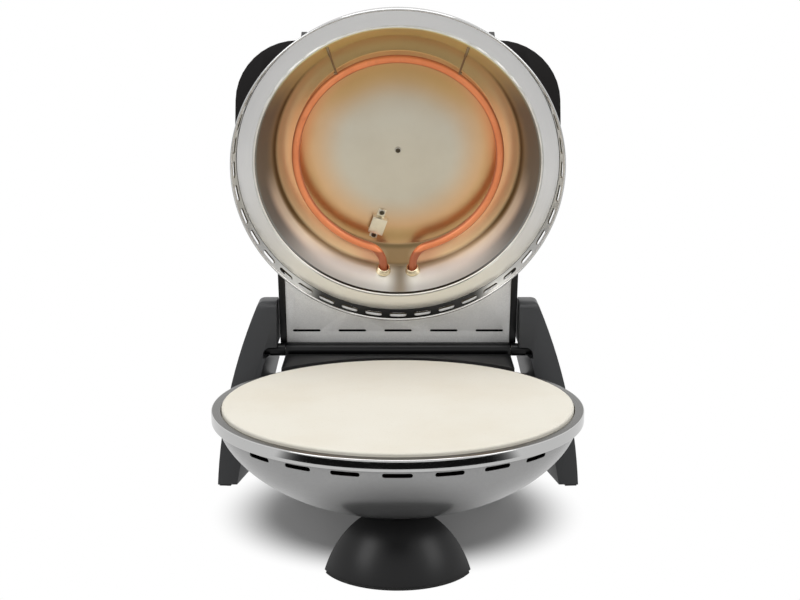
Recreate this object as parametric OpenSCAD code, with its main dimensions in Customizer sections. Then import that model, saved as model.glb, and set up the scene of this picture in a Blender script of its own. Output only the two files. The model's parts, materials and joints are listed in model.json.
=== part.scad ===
// Electric pizza maker: a round heated bowl with a baking stone, and a domed lid with its own
// heating element, hinged between two tall rear legs. A half-dome foot carries the front.
// The source works around the bowl's axis, with the front towards -Y and the table at z = 0.
// The last lines move the whole model so that its origin lies under the middle of its box.

/* [Bowl] */
// Height of the rim's flat top above the table
rim_z = 130; // [124:1:150]
// Outer radius of the chromed rim ring
rim_r = 165; // [137:1:200]
// Width of the rim ring's flat top
rim_flat = 8; // [6:0.5:12]
// Height of the rim ring's outer side
rim_side = 10.5; // [9:0.5:14]
// Depth of the bowl below the rim ring
bowl_depth = 79; // [64:1:84]
// Thickness of the painted sheet of the bowl and of the dome
shell_t = 1.2; // [0.8:0.1:1.6]
// Angle between neighbouring vent slots, seven at the front and seven at the back
bowl_slot_pitch = 15.3; // [14:0.1:18]
// Length of a bowl slot
bowl_slot_len = 24.5; // [18:0.5:26]
// Height of a bowl slot
bowl_slot_high = 3.8; // [2:0.1:4]

/* [Baking stone] */
// Thickness of the stone
stone_t = 14.5; // [11:0.5:18]
// Free play between the stone and the rim ring
stone_play = 1; // [0.5:0.1:2]
// Height of the stone above the rim's flat top
stone_proud = 3; // [1:0.5:5]

/* [Lid] */
// Opening angle of the lid, where 0 is closed
lid_open = 74.1; // [0:0.1:90]
// How far the lip stands out in front of the flange
lip_h = 15.5; // [12:0.5:18]
// How far the rim band flares out to its lip
lip_flare = 4; // [1:0.5:5]
// How far the lid's lip lies inside the rim ring's outer edge
lip_inset = 4.5; // [3:0.5:6]
// Width of the flange between the rim band and the pot
flange_w = 17.5; // [12:0.5:24]
// Depth of the reflector pot behind the flange
pot_depth = 43.5; // [38:0.5:48]
// Height of the dome above its lower edge
dome_h = 68; // [64:1:80]
// Number of slots in the rim band
band_slots = 40; // [24:1:44]
// Length of a rim band slot
band_slot_len = 17; // [12:0.5:20]
// Height of a rim band slot
band_slot_high = 5.5; // [3:0.5:7]

/* [Heating elements] */
// Diameter of the heating tube
tube_d = 8; // [6.5:0.1:9.6]
// How far the upper heating loop lies inside the flange's inner edge
upper_loop_in = 38; // [36:0.5:48]
// How far the lower heating loop lies inside the rim ring
lower_loop_in = 52; // [46:0.5:64]
// Height of the upper tube's centre above its reflector's floor
upper_stand = 19; // [16:0.5:21]
// Height of the lower tube's centre above its reflector's floor
lower_stand = 10; // [8:0.5:12]
// Distance of each tube end from the middle
terminal_x = 15; // [12:0.5:18]
// Bend radius where the loop turns out to its ends
tube_bend_r = 22; // [18:0.5:26]

/* [Neck and hinge] */
// Width of the black neck housing
neck_w = 239; // [198:1:290]
// Height of the neck housing above the lip
neck_h = 40; // [34:1:44]
// Distance of the hinge axis behind the rim ring
hinge_back = 30.3; // [28:0.1:36]
// Height of the hinge axis above the rim ring
hinge_up = 4.3; // [3:0.1:6]
// Radius of the hinge pin
pin_r = 3.5; // [3:0.1:4]
// Radius of the neck's barrel
barrel_r = 7; // [6.5:0.1:8.4]
// Wall of the plastic mouldings
wall = 3; // [2.4:0.1:3.6]
// Number of slots in the neck panel
panel_slots = 5; // [3:1:7]
// Distance between the neck panel's slots
panel_slot_pitch = 46.3; // [38:0.1:50]
// Length of a neck panel slot
panel_slot_len = 28; // [20:1:32]
// Height of a neck panel slot
panel_slot_high = 2.9; // [1.5:0.1:4]

/* [Legs] */
// Height of the legs
leg_h = 187; // [155:1:225]
// Outer half width of the legs at the table
leg_out = 182; // [170:1:200]
// Width of a leg at the table
leg_w = 19; // [16:1:24]
// Length of a leg's foot on the table
leg_foot_len = 69; // [55:1:80]
// Height of the rubber pads under the legs and the front foot
pad_t = 3; // [2:0.5:4]

/* [Front foot] */
// How far the ball that the front foot is cut from reaches above the bowl's underside
foot_rise = 28.9; // [24:0.1:34]
// Distance of that ball's centre in front of the bowl's axis
foot_y = 45; // [36:1:52]
// Depth of the ball's centre below the table
foot_drop = 32.4; // [28:0.1:36]
// Height of the foot's egg shape against its width
foot_stretch = 1.372; // [1.3:0.002:1.44]
// Distance of the foot's flat back in front of the bowl's axis
foot_back = 72; // [60:1:80]

/* [Handle] */
// How far the handle's outer faces stand outside the dome's edge
handle_out = 2.9; // [1.2:0.1:4]
// Reach of the handle in front of the lid's centre
handle_reach = 97.5; // [84:0.5:106]
// Height of the handle's front bar above the lip
handle_up = 98; // [92:1:108]
// Depth of the bar, front to back
handle_d = 22; // [18:1:26]
// Thickness of the bar
handle_t = 17; // [13:0.5:20]
// Radius of the handle's outer corners
handle_corner = 60; // [44:1:80]

/* [Controls] */
// Radius of the thermostat knob
knob_r = 17; // [14:0.5:20]
// Height of the thermostat knob
knob_h = 13; // [10:0.5:16]

/* [Hidden] */
// Gap between bodies that move against each other
gap = 0.3;
// Gap between nested sheets
nest = 0.2;
// Sheet of the chromed and bright parts
trim_t = 1;
// Sheet of the reflectors
pan_t = 0.8;
// Running clearance of the hinge pin in its bushes
pin_play = 0.05;

// Profile exponents that give the bowl and the dome their full, round shoulder
fullness_r = 0.94;
fullness_z = 1.28;
// Points along such a profile
profile_steps = 24;

// Bowl
ring_in_r = rim_r - rim_flat;
ring_low_z = rim_z - rim_side;
bowl_r = ring_in_r + pan_t + nest + shell_t;
bowl_edge_z = ring_low_z - 1.5;
flange_out_r = rim_r - trim_t - nest;
slots_aside = 3;
bowl_slot_z = bowl_edge_z - 1 - bowl_slot_high / 2;

// Baking stone
stone_r = ring_in_r - stone_play;
stone_top = rim_z + stone_proud;
ledge_z = stone_top - stone_t - gap;
ledge_w = 12;

// Lower pan
lower_loop_r = ring_in_r - lower_loop_in;
lower_pan_r = lower_loop_r + 10;
lower_floor_z = ledge_z - 32;
lower_tube_z = lower_floor_z + lower_stand;

// Lid, in its own frame: the lip's centre is the origin and +Z points into the dome
lid_r = rim_r - lip_inset;
band_top_r = lid_r - lip_flare;
band_h = lip_h + 4;
lip_bead_r = 1.1;
flange_in_r = band_top_r - trim_t - flange_w;
pot_r = flange_in_r - 1;
upper_loop_r = flange_in_r - upper_loop_in;
pot_floor_r = upper_loop_r + 2.5;
pot_floor_w = lip_h + pot_depth;
shoulder_r = pot_r - 16;
shoulder_w = pot_floor_w - 11.5;
dome_r = band_top_r - trim_t - nest;
skirt_r = dome_r - shell_t - 1.2;
skirt_h = 4;
dome_edge_w = lip_h + 1.5;
upper_tube_w = pot_floor_w - upper_stand;
band_slot_w = lip_h / 2 - 0.3;
ferrule_r = tube_d / 2 + 3;

// Slope of the pot's wall, and the distance of that wall from the middle at the tube's height
pot_slope = atan((pot_r - shoulder_r) / (shoulder_w - lip_h - trim_t));
ferrule_y = sqrt(pow(shoulder_r + (shoulder_w - upper_tube_w) * tan(pot_slope), 2)
    - pow(terminal_x, 2));

// Heating tubes: points along the loop and its bends, sides of the tube, length of the ends
loop_steps = 34;
bend_steps = 5;
tube_sides = 12;
upper_end_len = 10;
sleeve_len = 5;
pin_len = 4;
clip_angles = [-90, 30, 150];
support_angle = 35;
support_lean = 21;
support_len = 38;
support_rise = 26;

// Sheet bracket on the pot's floor
probe_x = -20.5;
probe_y = upper_loop_r - 21;
probe_turn = 19;

foot_ball_r = (bowl_edge_z - bowl_depth + foot_drop + foot_rise) / foot_stretch;

// The saddle behind the front foot's flat back is screwed to the bowl
saddle_half = 26;
saddle_len = 34;
saddle_z = 28;
foot_screw_x = 15;
foot_screw_y = foot_back - saddle_len / 2;

// Length of the handle's arms behind the middle of the lid
handle_tail = 12;

// Hinge
hinge_y = rim_r + hinge_back;
hinge_z = rim_z + hinge_up;
hinge_w = hinge_up - gap;
boss_r = barrel_r - 0.5;
boss_in_x = neck_w / 2 - 5.5;
boss_out_x = boss_in_x + 32;
barrel_half = boss_in_x - 0.5;
bush_len = 16;
bush_r = pin_r + 1.6;
panel_w = 9;
neck_front_w = panel_w - 1;
panel_half = neck_w / 2 - 6.5;
neck_back_y = hinge_y + barrel_r;
neck_corner = 12;
neck_from_y = handle_tail + 10;

// Legs
leg_in_x = neck_w / 2 + 2;
leg_front_y = hinge_y - 38;
leg_back_y = hinge_y + 45;
arm_low_z = hinge_z + 7.2;
leg_top_out = leg_in_x + 19;
leg_bow = 8.4;
leg_corner = 8;
leg_toe_in = 10;
leg_knee_x = leg_in_x + 14;
leg_knee_r = 8;
leg_knee_z = arm_low_z - leg_knee_r - 3;
leg_inner_low = leg_out - leg_w;
leg_inner_bow = 1.8;
leg_foot_end = leg_front_y + leg_foot_len;

// Rear housing
housing_half = boss_in_x - 1;
housing_top = rim_z + 3;
housing_low = rim_z - 75;
housing_back = hinge_y + 28;
wing_low = housing_low + 6;
wing_high = rim_z - 25;
shelf_z = rim_z - 12;
housing_front = rim_r - 57;
cover_t = 2.5;
// Width of the housing's back that frames the cover
cover_edge = 9;
housing_screw_x = 70;
housing_screw_z = rim_z - 30;
control_z = (housing_low + shelf_z) / 2 + 2;
knob_x = -62;
lamp_x = -22;
gland_x = 62;
lamp_r = 5;
gland_r = 6;

// Handle
handle_w = 2 * (dome_r + handle_out);
handle_root_w = 34;
handle_tilt = atan((handle_up - handle_root_w) / handle_reach);
handle_run = norm([handle_up - handle_root_w, handle_reach]);
bracket_x = 91.5;
bracket_t = 5.5;

// Whole model
front_y = -rim_r;
back_y = max(leg_back_y, housing_back + cover_t + knob_h + 1);
shift_y = -(front_y + back_y) / 2;
fine = 96;
small = 32;

// Half profile of a bowl: radius against height below the open edge
function bowl_curve(r, h) = [for (i = [0:profile_steps])
    let (a = 90 * i / profile_steps)
    [r * pow(sin(a), fullness_r), h * pow(cos(a), fullness_z)]];

// Points along an arc
function arc(cx, cy, r, from, to, steps) = [for (i = [0:steps])
    let (a = from + (to - from) * i / steps) [cx + r * cos(a), cy + r * sin(a)]];

function reversed(list) = [for (i = [len(list) - 1:-1:0]) list[i]];

// Points of a shallow bow between two points, bulging to the right of the way from a to b
function bow(a, b, rise, steps) = [for (i = [0:steps])
    let (t = i / steps, d = b - a, n = [d[1], -d[0]] / norm(d))
    a + d * t + n * rise * 4 * t * (1 - t)];

module at_lid() {
    translate([0, hinge_y, hinge_z]) rotate([-lid_open, 0, 0])
        translate([0, -hinge_y, -hinge_w]) children();
}

module both_sides() {
    children();
    mirror([1, 0, 0]) children();
}

// A slot with round ends, cut along Y through a wall, long way along X
module slot_cut(len, high, deep) {
    cube([len - high, deep, high], center = true);
    for (s = [-1, 1]) translate([s * (len - high) / 2, 0, 0])
        rotate([90, 0, 0]) cylinder(d = high, h = deep, center = true, $fn = 24);
}

// Cheese-head screw with its head's underside at the origin and its shank along -Z
module screw(r, head_r, head_h, len) {
    difference() {
        cylinder(r = head_r, h = head_h, $fn = small);
        translate([0, 0, head_h - 0.8]) cube([head_r * 1.3, 0.9, 2], center = true);
        translate([0, 0, head_h - 0.8]) cube([0.9, head_r * 1.3, 2], center = true);
    }
    translate([0, 0, -len]) cylinder(r = r, h = len, $fn = small);
}

// Space taken by the bowl and the rim ring, grown by some clearance
module bowl_space(grow) {
    curve = bowl_curve(bowl_r + grow, bowl_depth + grow);
    rotate_extrude($fn = fine) polygon(concat(
        [for (p = curve) [p[0], bowl_edge_z - p[1]]],
        [[rim_r + grow, ring_low_z - grow], [rim_r + grow, rim_z + 40], [0, rim_z + 40]]));
}

// Space taken by the dome and the rim band in the lid's frame
module dome_space(grow) {
    curve = bowl_curve(dome_r + grow, dome_h + grow);
    band_r = band_top_r + grow;
    rotate_extrude($fn = fine) polygon(concat(
        [for (p = curve) if (dome_edge_w + p[1] > band_h + grow) [p[0], dome_edge_w + p[1]]],
        [[band_r, band_h + grow], [band_r, lip_h], [lid_r + grow, 0], [lid_r + grow, -10],
         [0, -10]]));
}

module bowl_shell() {
    outer = bowl_curve(bowl_r, bowl_depth);
    inner = bowl_curve(bowl_r - shell_t, bowl_depth - shell_t);
    flange_z = ring_low_z + trim_t + nest;
    color([0.68, 0.68, 0.68]) difference() {
        rotate_extrude($fn = fine) polygon(concat(
            [for (p = outer) [p[0], bowl_edge_z - p[1]]],
            [[bowl_r, flange_z], [flange_out_r, flange_z], [flange_out_r, flange_z + shell_t],
             [bowl_r - shell_t, flange_z + shell_t]],
            reversed([for (p = inner) [p[0], bowl_edge_z - p[1]]])));
        for (side = [0, 180]) for (i = [-slots_aside:slots_aside])
            rotate([0, 0, side + i * bowl_slot_pitch])
            translate([0, -bowl_r, bowl_slot_z]) slot_cut(bowl_slot_len, bowl_slot_high, 10);
        at_foot_screws() translate([0, 0, -20]) cylinder(r = 2.2, h = 40, $fn = small);
        at_housing_screws() cylinder(r = 2.2, h = 40, center = true, $fn = small);
    }
}

module rim_ring() {
    edge = 0.7;
    lip_in = bowl_r + nest;
    color([0.85, 0.85, 0.86]) rotate_extrude($fn = fine) polygon(concat(
        [[ring_in_r, rim_z - trim_t], [ring_in_r, rim_z]],
        arc(rim_r - edge, rim_z - edge, edge, 90, 0, 4),
        arc(rim_r - edge, ring_low_z + edge, edge, 0, -90, 4),
        [[lip_in, ring_low_z], [lip_in, ring_low_z + trim_t],
         [rim_r - trim_t, ring_low_z + trim_t], [rim_r - trim_t, rim_z - trim_t]]));
}

// Depth profile of the lower pan, as a line from its flange to its middle
function lower_pan_line(t) = [
    [flange_out_r, rim_z - trim_t - pan_t + t],
    [ring_in_r + pan_t - t, rim_z - trim_t - pan_t + t],
    [ring_in_r + pan_t - t, ledge_z - pan_t + t],
    [ring_in_r - ledge_w - t, ledge_z - pan_t + t],
    [lower_pan_r - t, lower_floor_z - pan_t + t],
    [0, lower_floor_z - pan_t + t]];

module lower_reflector() {
    color([0.74, 0.74, 0.72]) difference() {
        rotate_extrude($fn = fine)
            polygon(concat(lower_pan_line(0), reversed(lower_pan_line(pan_t))));
        for (s = [-1, 1]) translate([s * terminal_x, lower_pan_r, lower_tube_z])
            rotate([90, 0, 0]) cylinder(d = tube_d + 1, h = 60, center = true, $fn = small);
        for (a = clip_angles) rotate([0, 0, a]) translate([lower_loop_r, 0, lower_floor_z])
            cylinder(r = 1.7, h = 8, center = true, $fn = small);
    }
}

// Angle, seen from the middle, at which a loop turns out to its ends
function loop_end_a(r) = asin((terminal_x + tube_bend_r) / (r + tube_bend_r));

// Distance of the straight ends' start from the middle
function tube_end_y(r) = (r + tube_bend_r) * cos(loop_end_a(r));

// Right half of the tube's centre line, from the loop's front to its end
function tube_half_line(r, end_len) = let (a = loop_end_a(r), y = tube_end_y(r)) concat(
    arc(0, 0, r, -90, 90 - a, loop_steps),
    [for (i = [1:bend_steps]) let (b = 270 - a - (90 - a) * i / bend_steps)
        [terminal_x + tube_bend_r + tube_bend_r * cos(b), y + tube_bend_r * sin(b)]],
    [[terminal_x, y + end_len]]);

function tube_line(r, end_len) = let (half = tube_half_line(r, end_len)) concat(
    [for (i = [len(half) - 1:-1:1]) [-half[i][0], half[i][1]]], half);

// Heating tube: one flat loop that turns out to two parallel ends towards +Y
module heating_tube(loop_r, end_len) {
    line = tube_line(loop_r, end_len);
    count = len(line);
    points = [for (i = [0:count - 1]) let (
            before = line[max(i - 1, 0)],
            after = line[min(i + 1, count - 1)],
            d = (after - before) / norm(after - before))
        for (k = [0:tube_sides - 1]) let (a = 360 * k / tube_sides, s = tube_d / 2)
            [line[i][0] + s * cos(a) * d[1], line[i][1] - s * cos(a) * d[0], s * sin(a)]];
    skin = [for (i = [0:count - 2], k = [0:tube_sides - 1]) let (
            a = i * tube_sides + k,
            b = i * tube_sides + (k + 1) % tube_sides)
        [a, b, b + tube_sides, a + tube_sides]];
    ends = [[for (k = [tube_sides - 1:-1:0]) k],
        [for (k = [0:tube_sides - 1]) (count - 1) * tube_sides + k]];
    polyhedron(points, concat(skin, ends), convexity = 6);
}

// Length of the lower tube's straight ends, whose pins stop short of the bowl's sheet
lower_end_len = bowl_inside_r(lower_tube_z - tube_d / 4) - 4 - pin_len - sleeve_len
    - tube_end_y(lower_loop_r);

module lower_element() {
    color([0.62, 0.36, 0.26]) translate([0, 0, lower_tube_z])
        heating_tube(lower_loop_r, lower_end_len);
}

// Three clips that hold the lower loop above the pan's floor
module lower_element_clips() {
    r = tube_d / 2;
    color([0.72, 0.72, 0.72]) for (a = clip_angles) rotate([0, 0, a])
        translate([lower_loop_r, 0, 0]) {
            translate([0, 0, lower_tube_z]) rotate([90, 0, 0]) difference() {
                cylinder(r = r + 1, h = 6, center = true, $fn = small);
                cylinder(r = r + 0.15, h = 7, center = true, $fn = small);
            }
            translate([-2, -3, lower_floor_z])
                cube([4, 6, lower_stand - r - 0.5]);
            translate([0, 0, lower_floor_z - pan_t - 2]) cylinder(r = 1.5, h = 4, $fn = small);
        }
}

// Ceramic-sleeved contact pins in the ends of a heating tube
module tube_terminals(end_y) {
    both_sides() translate([terminal_x, end_y, 0]) rotate([-90, 0, 0]) {
        cylinder(d = tube_d - 2, h = sleeve_len, $fn = small);
        translate([0, 0, sleeve_len]) cylinder(r = 1.2, h = pin_len, $fn = small);
    }
}

module lower_terminals() {
    color([0.9, 0.88, 0.82]) translate([0, 0, lower_tube_z])
        tube_terminals(tube_end_y(lower_loop_r) + lower_end_len);
}

module baking_stone() {
    soft = 1.6;
    color([0.91, 0.9, 0.85]) translate([0, 0, ledge_z + gap]) rotate_extrude($fn = fine)
        polygon(concat([[0, 0], [stone_r - 1, 0], [stone_r, 1]],
            arc(stone_r - soft, stone_t - soft, soft, 0, 90, 5), [[0, stone_t]]));
}

// The front foot is the front slice of a tall ball, cut off by the bowl above it
module foot_ball(r) {
    translate([0, -foot_y, -foot_drop]) rotate_extrude($fn = fine) polygon(concat([[0, 0]],
        [for (p = arc(0, 0, r, 0, 90, 30)) [max(p[0], 0), foot_stretch * p[1]]]));
}

module front_foot() {
    color([0.09, 0.09, 0.09]) difference() {
        union() {
            intersection() {
                difference() {
                    foot_ball(foot_ball_r);
                    difference() {
                        foot_ball(foot_ball_r - wall);
                        translate([-100, -foot_back - wall, 0]) cube([200, wall + 1, 100]);
                    }
                }
                translate([-100, -foot_back - 100, pad_t]) cube([200, 100, 100]);
            }
            intersection() {
                foot_ball(foot_ball_r);
                translate([-saddle_half, -foot_back - 1, saddle_z])
                    cube([2 * saddle_half, saddle_len + 1, 100]);
            }
        }
        bowl_space(nest);
        at_foot_screws() translate([0, 0, -16]) cylinder(r = 1.8, h = 40, $fn = small);
    }
}

module front_foot_pad() {
    inset = 1;
    color([0.05, 0.05, 0.05]) intersection() {
        foot_ball(foot_ball_r - inset);
        translate([-100, -foot_back - 100 - inset, 0]) cube([200, 100, pad_t]);
    }
}

// Height of the bowl's inner surface at a distance from its axis
function bowl_inside_z(r) = let (
        a = asin(pow(r / (bowl_r - shell_t), 1 / fullness_r)))
    bowl_edge_z - (bowl_depth - shell_t) * pow(cos(a), fullness_z);

// Radius of the bowl's inner surface at a height
function bowl_inside_r(z) = let (
        a = acos(pow((bowl_edge_z - z) / (bowl_depth - shell_t), 1 / fullness_z)))
    (bowl_r - shell_t) * pow(sin(a), fullness_r);

module at_foot_screws() {
    z = bowl_inside_z(norm([foot_screw_x + 3, foot_screw_y + 3]));
    for (s = [-1, 1]) translate([s * foot_screw_x, -foot_screw_y, z]) children();
}

module foot_screws() {
    color([0.75, 0.75, 0.75]) at_foot_screws() screw(1.7, 3.6, 2.4, 14);
}

// Inner edge of a leg in the front view, at a height
function leg_inner_x(z) = let (t = z / leg_knee_z)
    leg_inner_low + (leg_knee_x - leg_inner_low) * t + 4 * leg_inner_bow * t * (1 - t);

// Front view of a leg, with its wall taken off inside by t
function leg_front_outline(t) = let (
        corner_x = leg_top_out - 6.5,
        corner_z = leg_h - leg_corner,
        start = [corner_x + (leg_corner - t) * cos(26), corner_z + (leg_corner - t) * sin(26)])
    concat(
        bow([leg_out - t, 0], start, leg_bow, 14),
        arc(corner_x, corner_z, leg_corner - t, 34, 90, 4),
        [[leg_in_x + t, leg_h - t], [leg_in_x + t, arm_low_z + t]],
        arc(leg_knee_x - leg_knee_r + t, arm_low_z - leg_knee_r + t, leg_knee_r, 90, 10, 5),
        [for (z = [leg_knee_z:-leg_knee_z / 8:0]) [leg_inner_x(z) + t, z]]);

// Side view of a leg: [y, z], moved back by t from its front and down by t from its top
function leg_side_outline(t) = concat(
    [[leg_front_y + t, 0], [leg_foot_end, 0]],
    bow([leg_foot_end, 0], [leg_back_y, leg_h - 75], 3, 6),
    arc(leg_back_y - 34, leg_h - 40, 34, 6, 66, 7),
    [[leg_front_y + 46, leg_h - t], [leg_front_y + 28 + t, leg_h - t]],
    arc(leg_front_y + 28 + t, leg_h - 10, 10 - t, 90, 170, 5));

module leg_front_plate(t) {
    translate([0, leg_back_y + 60, 0]) rotate([90, 0, 0])
        linear_extrude(leg_back_y - leg_front_y + 80) polygon(leg_front_outline(t));
}

module leg_side_plate(t) {
    rotate([90, 0, 90]) linear_extrude(leg_out + 30) polygon(leg_side_outline(t));
}

// Toe-in: below the arm, the inner side of the leg runs inwards to the back
module leg_toe_wedge() {
    deep = leg_back_y - leg_front_y + 20;
    intersection() {
        translate([leg_inner_low, leg_front_y, 0]) rotate([0, 0, leg_toe_in])
            translate([-leg_inner_low, deep, 0]) rotate([90, 0, 0]) linear_extrude(deep)
            polygon(concat(
                [for (z = [0:leg_knee_z / 8:leg_knee_z]) [leg_inner_x(z), z]],
                [[leg_top_out + 10, leg_knee_z], [leg_out - 4, 0]]));
        translate([leg_in_x, 0, 0]) cube([80, leg_back_y + 60, leg_knee_z]);
    }
}

module leg_block() {
    intersection() {
        union() {
            leg_front_plate(0);
            leg_toe_wedge();
        }
        leg_side_plate(0);
    }
}

module leg_hollow() {
    intersection() {
        leg_front_plate(wall);
        leg_side_plate(wall);
        translate([0, 0, -1]) cube([400, 600, leg_h + 2]);
    }
}

module right_leg_body() {
    color([0.2, 0.2, 0.21]) difference() {
        translate([0, 0, pad_t]) intersection() {
            translate([0, 0, -pad_t]) leg_block();
            cube([400, 600, 600]);
        }
        difference() {
            leg_hollow();
            translate([0, 0, -1]) cube([400, 600, pad_t + wall + 1]);
            at_hinge() cylinder(r = boss_r + wall, h = 400, $fn = small);
        }
        at_hinge() cylinder(r = boss_r + nest / 4, h = boss_out_x, $fn = fine);
        at_leg_screws() translate([0, 0, -20]) cylinder(r = 2.1, h = 40, $fn = small);
    }
}

// Plate that closes the hollow of a leg from behind
module right_leg_cover_body() {
    color([0.17, 0.17, 0.18]) difference() {
        intersection() {
            leg_hollow();
            leg_side_plate(0);
            translate([0, 0, pad_t + wall]) cube([400, 600, leg_h]);
        }
        translate([0, -cover_t, 0]) leg_side_plate(0);
        at_hinge() cylinder(r = boss_r + wall + nest, h = 400, $fn = small);
    }
}

// Along the hinge axis, starting at the middle plane
module at_hinge() {
    translate([0, hinge_y, hinge_z]) rotate([0, 90, 0]) children();
}

module right_leg() {
    right_leg_body();
}

module left_leg() {
    mirror([1, 0, 0]) right_leg_body();
}

module right_leg_cover() {
    right_leg_cover_body();
}

module left_leg_cover() {
    mirror([1, 0, 0]) right_leg_cover_body();
}

module rear_foot_pads() {
    inset = 1.5;
    color([0.05, 0.05, 0.05]) both_sides()
        translate([leg_out - leg_w / 2, leg_front_y + leg_foot_len / 2, 0])
        rotate([0, 0, leg_toe_in / 2]) linear_extrude(pad_t)
        square([leg_w - 2 * inset - 4, leg_foot_len - 10], center = true);
}

// Screw places inside the right leg, heads outwards
module at_leg_screws() {
    for (z = [wing_low + 11, wing_high - 11])
        translate([leg_inner_x(z) + wall + 1.1, hinge_y + 6, z]) rotate([0, 90, 0]) children();
}

module leg_screws() {
    color([0.75, 0.75, 0.75]) both_sides() at_leg_screws() screw(2, 4, 2.6, 18);
}

// Short bars that reach from the legs to the neck and carry the hinge pins
module hinge_bosses() {
    color([0.07, 0.07, 0.07]) both_sides() difference() {
        translate([boss_in_x, 0, 0]) at_hinge()
            cylinder(r = boss_r, h = boss_out_x - boss_in_x - gap, $fn = fine);
        at_hinge() cylinder(r = pin_r, h = boss_out_x + 1, $fn = fine);
    }
}

module hinge_pins() {
    color([0.8, 0.8, 0.82]) both_sides() translate([barrel_half - bush_len - 2, 0, 0])
        at_hinge() cylinder(r = pin_r, h = boss_out_x - barrel_half + bush_len - 4, $fn = fine);
}

// Side view of the rear housing: [y, z]
function housing_side(t) = concat(
    [[housing_front + t, housing_low + t]],
    arc(housing_back - 10, housing_low + 10, 10 - t, -90, 0, 5),
    arc(housing_back - 8, shelf_z - 8, 8 - t, 0, 90, 5),
    [[hinge_y - 7 - t, shelf_z - t]],
    arc(hinge_y - 16, housing_top - 7, 7 - t, 0, 90, 5),
    [[housing_front + t, housing_top - t]]);

module housing_core(t) {
    rotate([90, 0, 90]) translate([0, 0, -housing_half + t])
        linear_extrude(2 * (housing_half - t)) polygon(housing_side(t));
}

// Low wings that reach out to the legs
module housing_wings() {
    reach = leg_inner_low - 6;
    translate([-reach, leg_front_y + 20, wing_low])
        cube([2 * reach, housing_back - leg_front_y - 30, wing_high - wing_low]);
}

module cover_window(clear, deep) {
    translate([-housing_half + cover_edge - clear, housing_back - deep,
        housing_low + cover_edge - clear])
        cube([2 * (housing_half - cover_edge + clear), deep,
            shelf_z - housing_low - 2 * cover_edge + 2 * clear]);
}

module rear_housing() {
    color([0.06, 0.06, 0.06]) difference() {
        union() {
            housing_core(0);
            housing_wings();
        }
        difference() {
            housing_core(wall);
            bowl_space(wall);
            at_housing_screws() translate([0, 0, -16]) cylinder(r = 5, h = 16, $fn = small);
            at_cover_screws() translate([0, 0, -12]) cylinder(r = 4, h = 12 - cover_t, $fn = small);
        }
        cover_window(nest, cover_t + nest);
        cover_window(-2, wall + 8);
        bowl_space(nest);
        both_sides() leg_block();
        at_hinge() cylinder(r = barrel_r + 1.5, h = 2 * neck_w, center = true, $fn = fine);
        at_housing_screws() translate([0, 0, -14]) cylinder(r = 1.8, h = 40, $fn = small);
        both_sides() at_leg_screws() translate([0, 0, -20])
            cylinder(r = 2.1, h = 40, $fn = small);
    }
}

// Screw places inside the bowl's back wall, heads towards the bowl's axis
module at_housing_screws() {
    head_r = 3.6;
    y = sqrt(pow(bowl_inside_r(housing_screw_z - head_r), 2)
        - pow(housing_screw_x + head_r, 2)) - nest;
    for (s = [-1, 1]) translate([s * housing_screw_x, y, housing_screw_z])
        rotate([90, 0, 0]) children();
}

module housing_screws() {
    color([0.75, 0.75, 0.75]) at_housing_screws() screw(1.7, 3.6, 2.4, 14);
}

module housing_cover() {
    color([0.08, 0.08, 0.08]) difference() {
        cover_window(0, cover_t);
        at_control(knob_x) cylinder(r = 4.2, h = 20, center = true, $fn = small);
        at_control(lamp_x) cylinder(r = lamp_r + 0.05, h = 20, center = true, $fn = small);
        at_control(gland_x) cylinder(r = gland_r + 0.05, h = 20, center = true, $fn = small);
        at_cover_screws() cylinder(r = 1.8, h = 20, center = true, $fn = small);
    }
}

// A control on the housing's back, with +Z pointing out of it
module at_control(x) {
    translate([x, housing_back, control_z]) rotate([-90, 0, 0]) children();
}

module at_cover_screws() {
    edge = cover_edge + 5;
    for (x = [-housing_half + edge, housing_half - edge])
        for (z = [housing_low + edge, shelf_z - edge])
            translate([x, housing_back, z]) rotate([-90, 0, 0]) children();
}

module cover_screws() {
    color([0.75, 0.75, 0.75]) at_cover_screws() screw(1.7, 3.4, 1.6, 7);
}

module thermostat() {
    color([0.8, 0.76, 0.66]) at_control(knob_x) {
        translate([0, 0, -cover_t - 16]) cylinder(r = 15, h = 15.8, $fn = fine);
        translate([0, 0, -cover_t - 1]) cylinder(r = 3, h = cover_t + 9, $fn = small);
        for (s = [-1, 1]) translate([s * 9 - 1.5, -3, -cover_t - 24]) cube([3, 6, 8.5]);
    }
}

module thermostat_knob() {
    grips = 16;
    color([0.07, 0.07, 0.07]) at_control(knob_x) difference() {
        translate([0, 0, gap]) rotate_extrude($fn = fine)
            polygon([[0, 0], [knob_r, 0], [knob_r, 2.5], [knob_r - 2.5, 3.5],
                [knob_r - 3.5, knob_h - 1], [knob_r - 4.5, knob_h], [0, knob_h]]);
        translate([0, 0, -1]) cylinder(r = 3.05, h = 10, $fn = small);
        for (i = [0:grips - 1]) rotate([0, 0, i * 360 / grips])
            translate([knob_r - 2, 0, 4.5]) cylinder(r = 1.2, h = knob_h, $fn = 24);
        translate([-0.8, 4, knob_h - 0.5]) cube([1.6, knob_r - 9, 2]);
    }
}

module pilot_lamp() {
    color([0.85, 0.15, 0.08]) at_control(lamp_x) {
        cylinder(r = lamp_r + 1.5, h = 1, $fn = small);
        translate([0, 0, -8]) cylinder(r = lamp_r, h = 8, $fn = small);
        translate([0, 0, 1]) cylinder(r1 = lamp_r, r2 = lamp_r - 1.5, h = 1.5, $fn = small);
    }
}

module terminal_block() {
    color([0.9, 0.89, 0.85]) translate([10, housing_back - 44, housing_low + wall])
        difference() {
            cube([36, 16, 14]);
            for (i = [0:2]) translate([6 + 12 * i, 8, 6]) cylinder(r = 2.4, h = 10, $fn = 24);
        }
}

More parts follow.
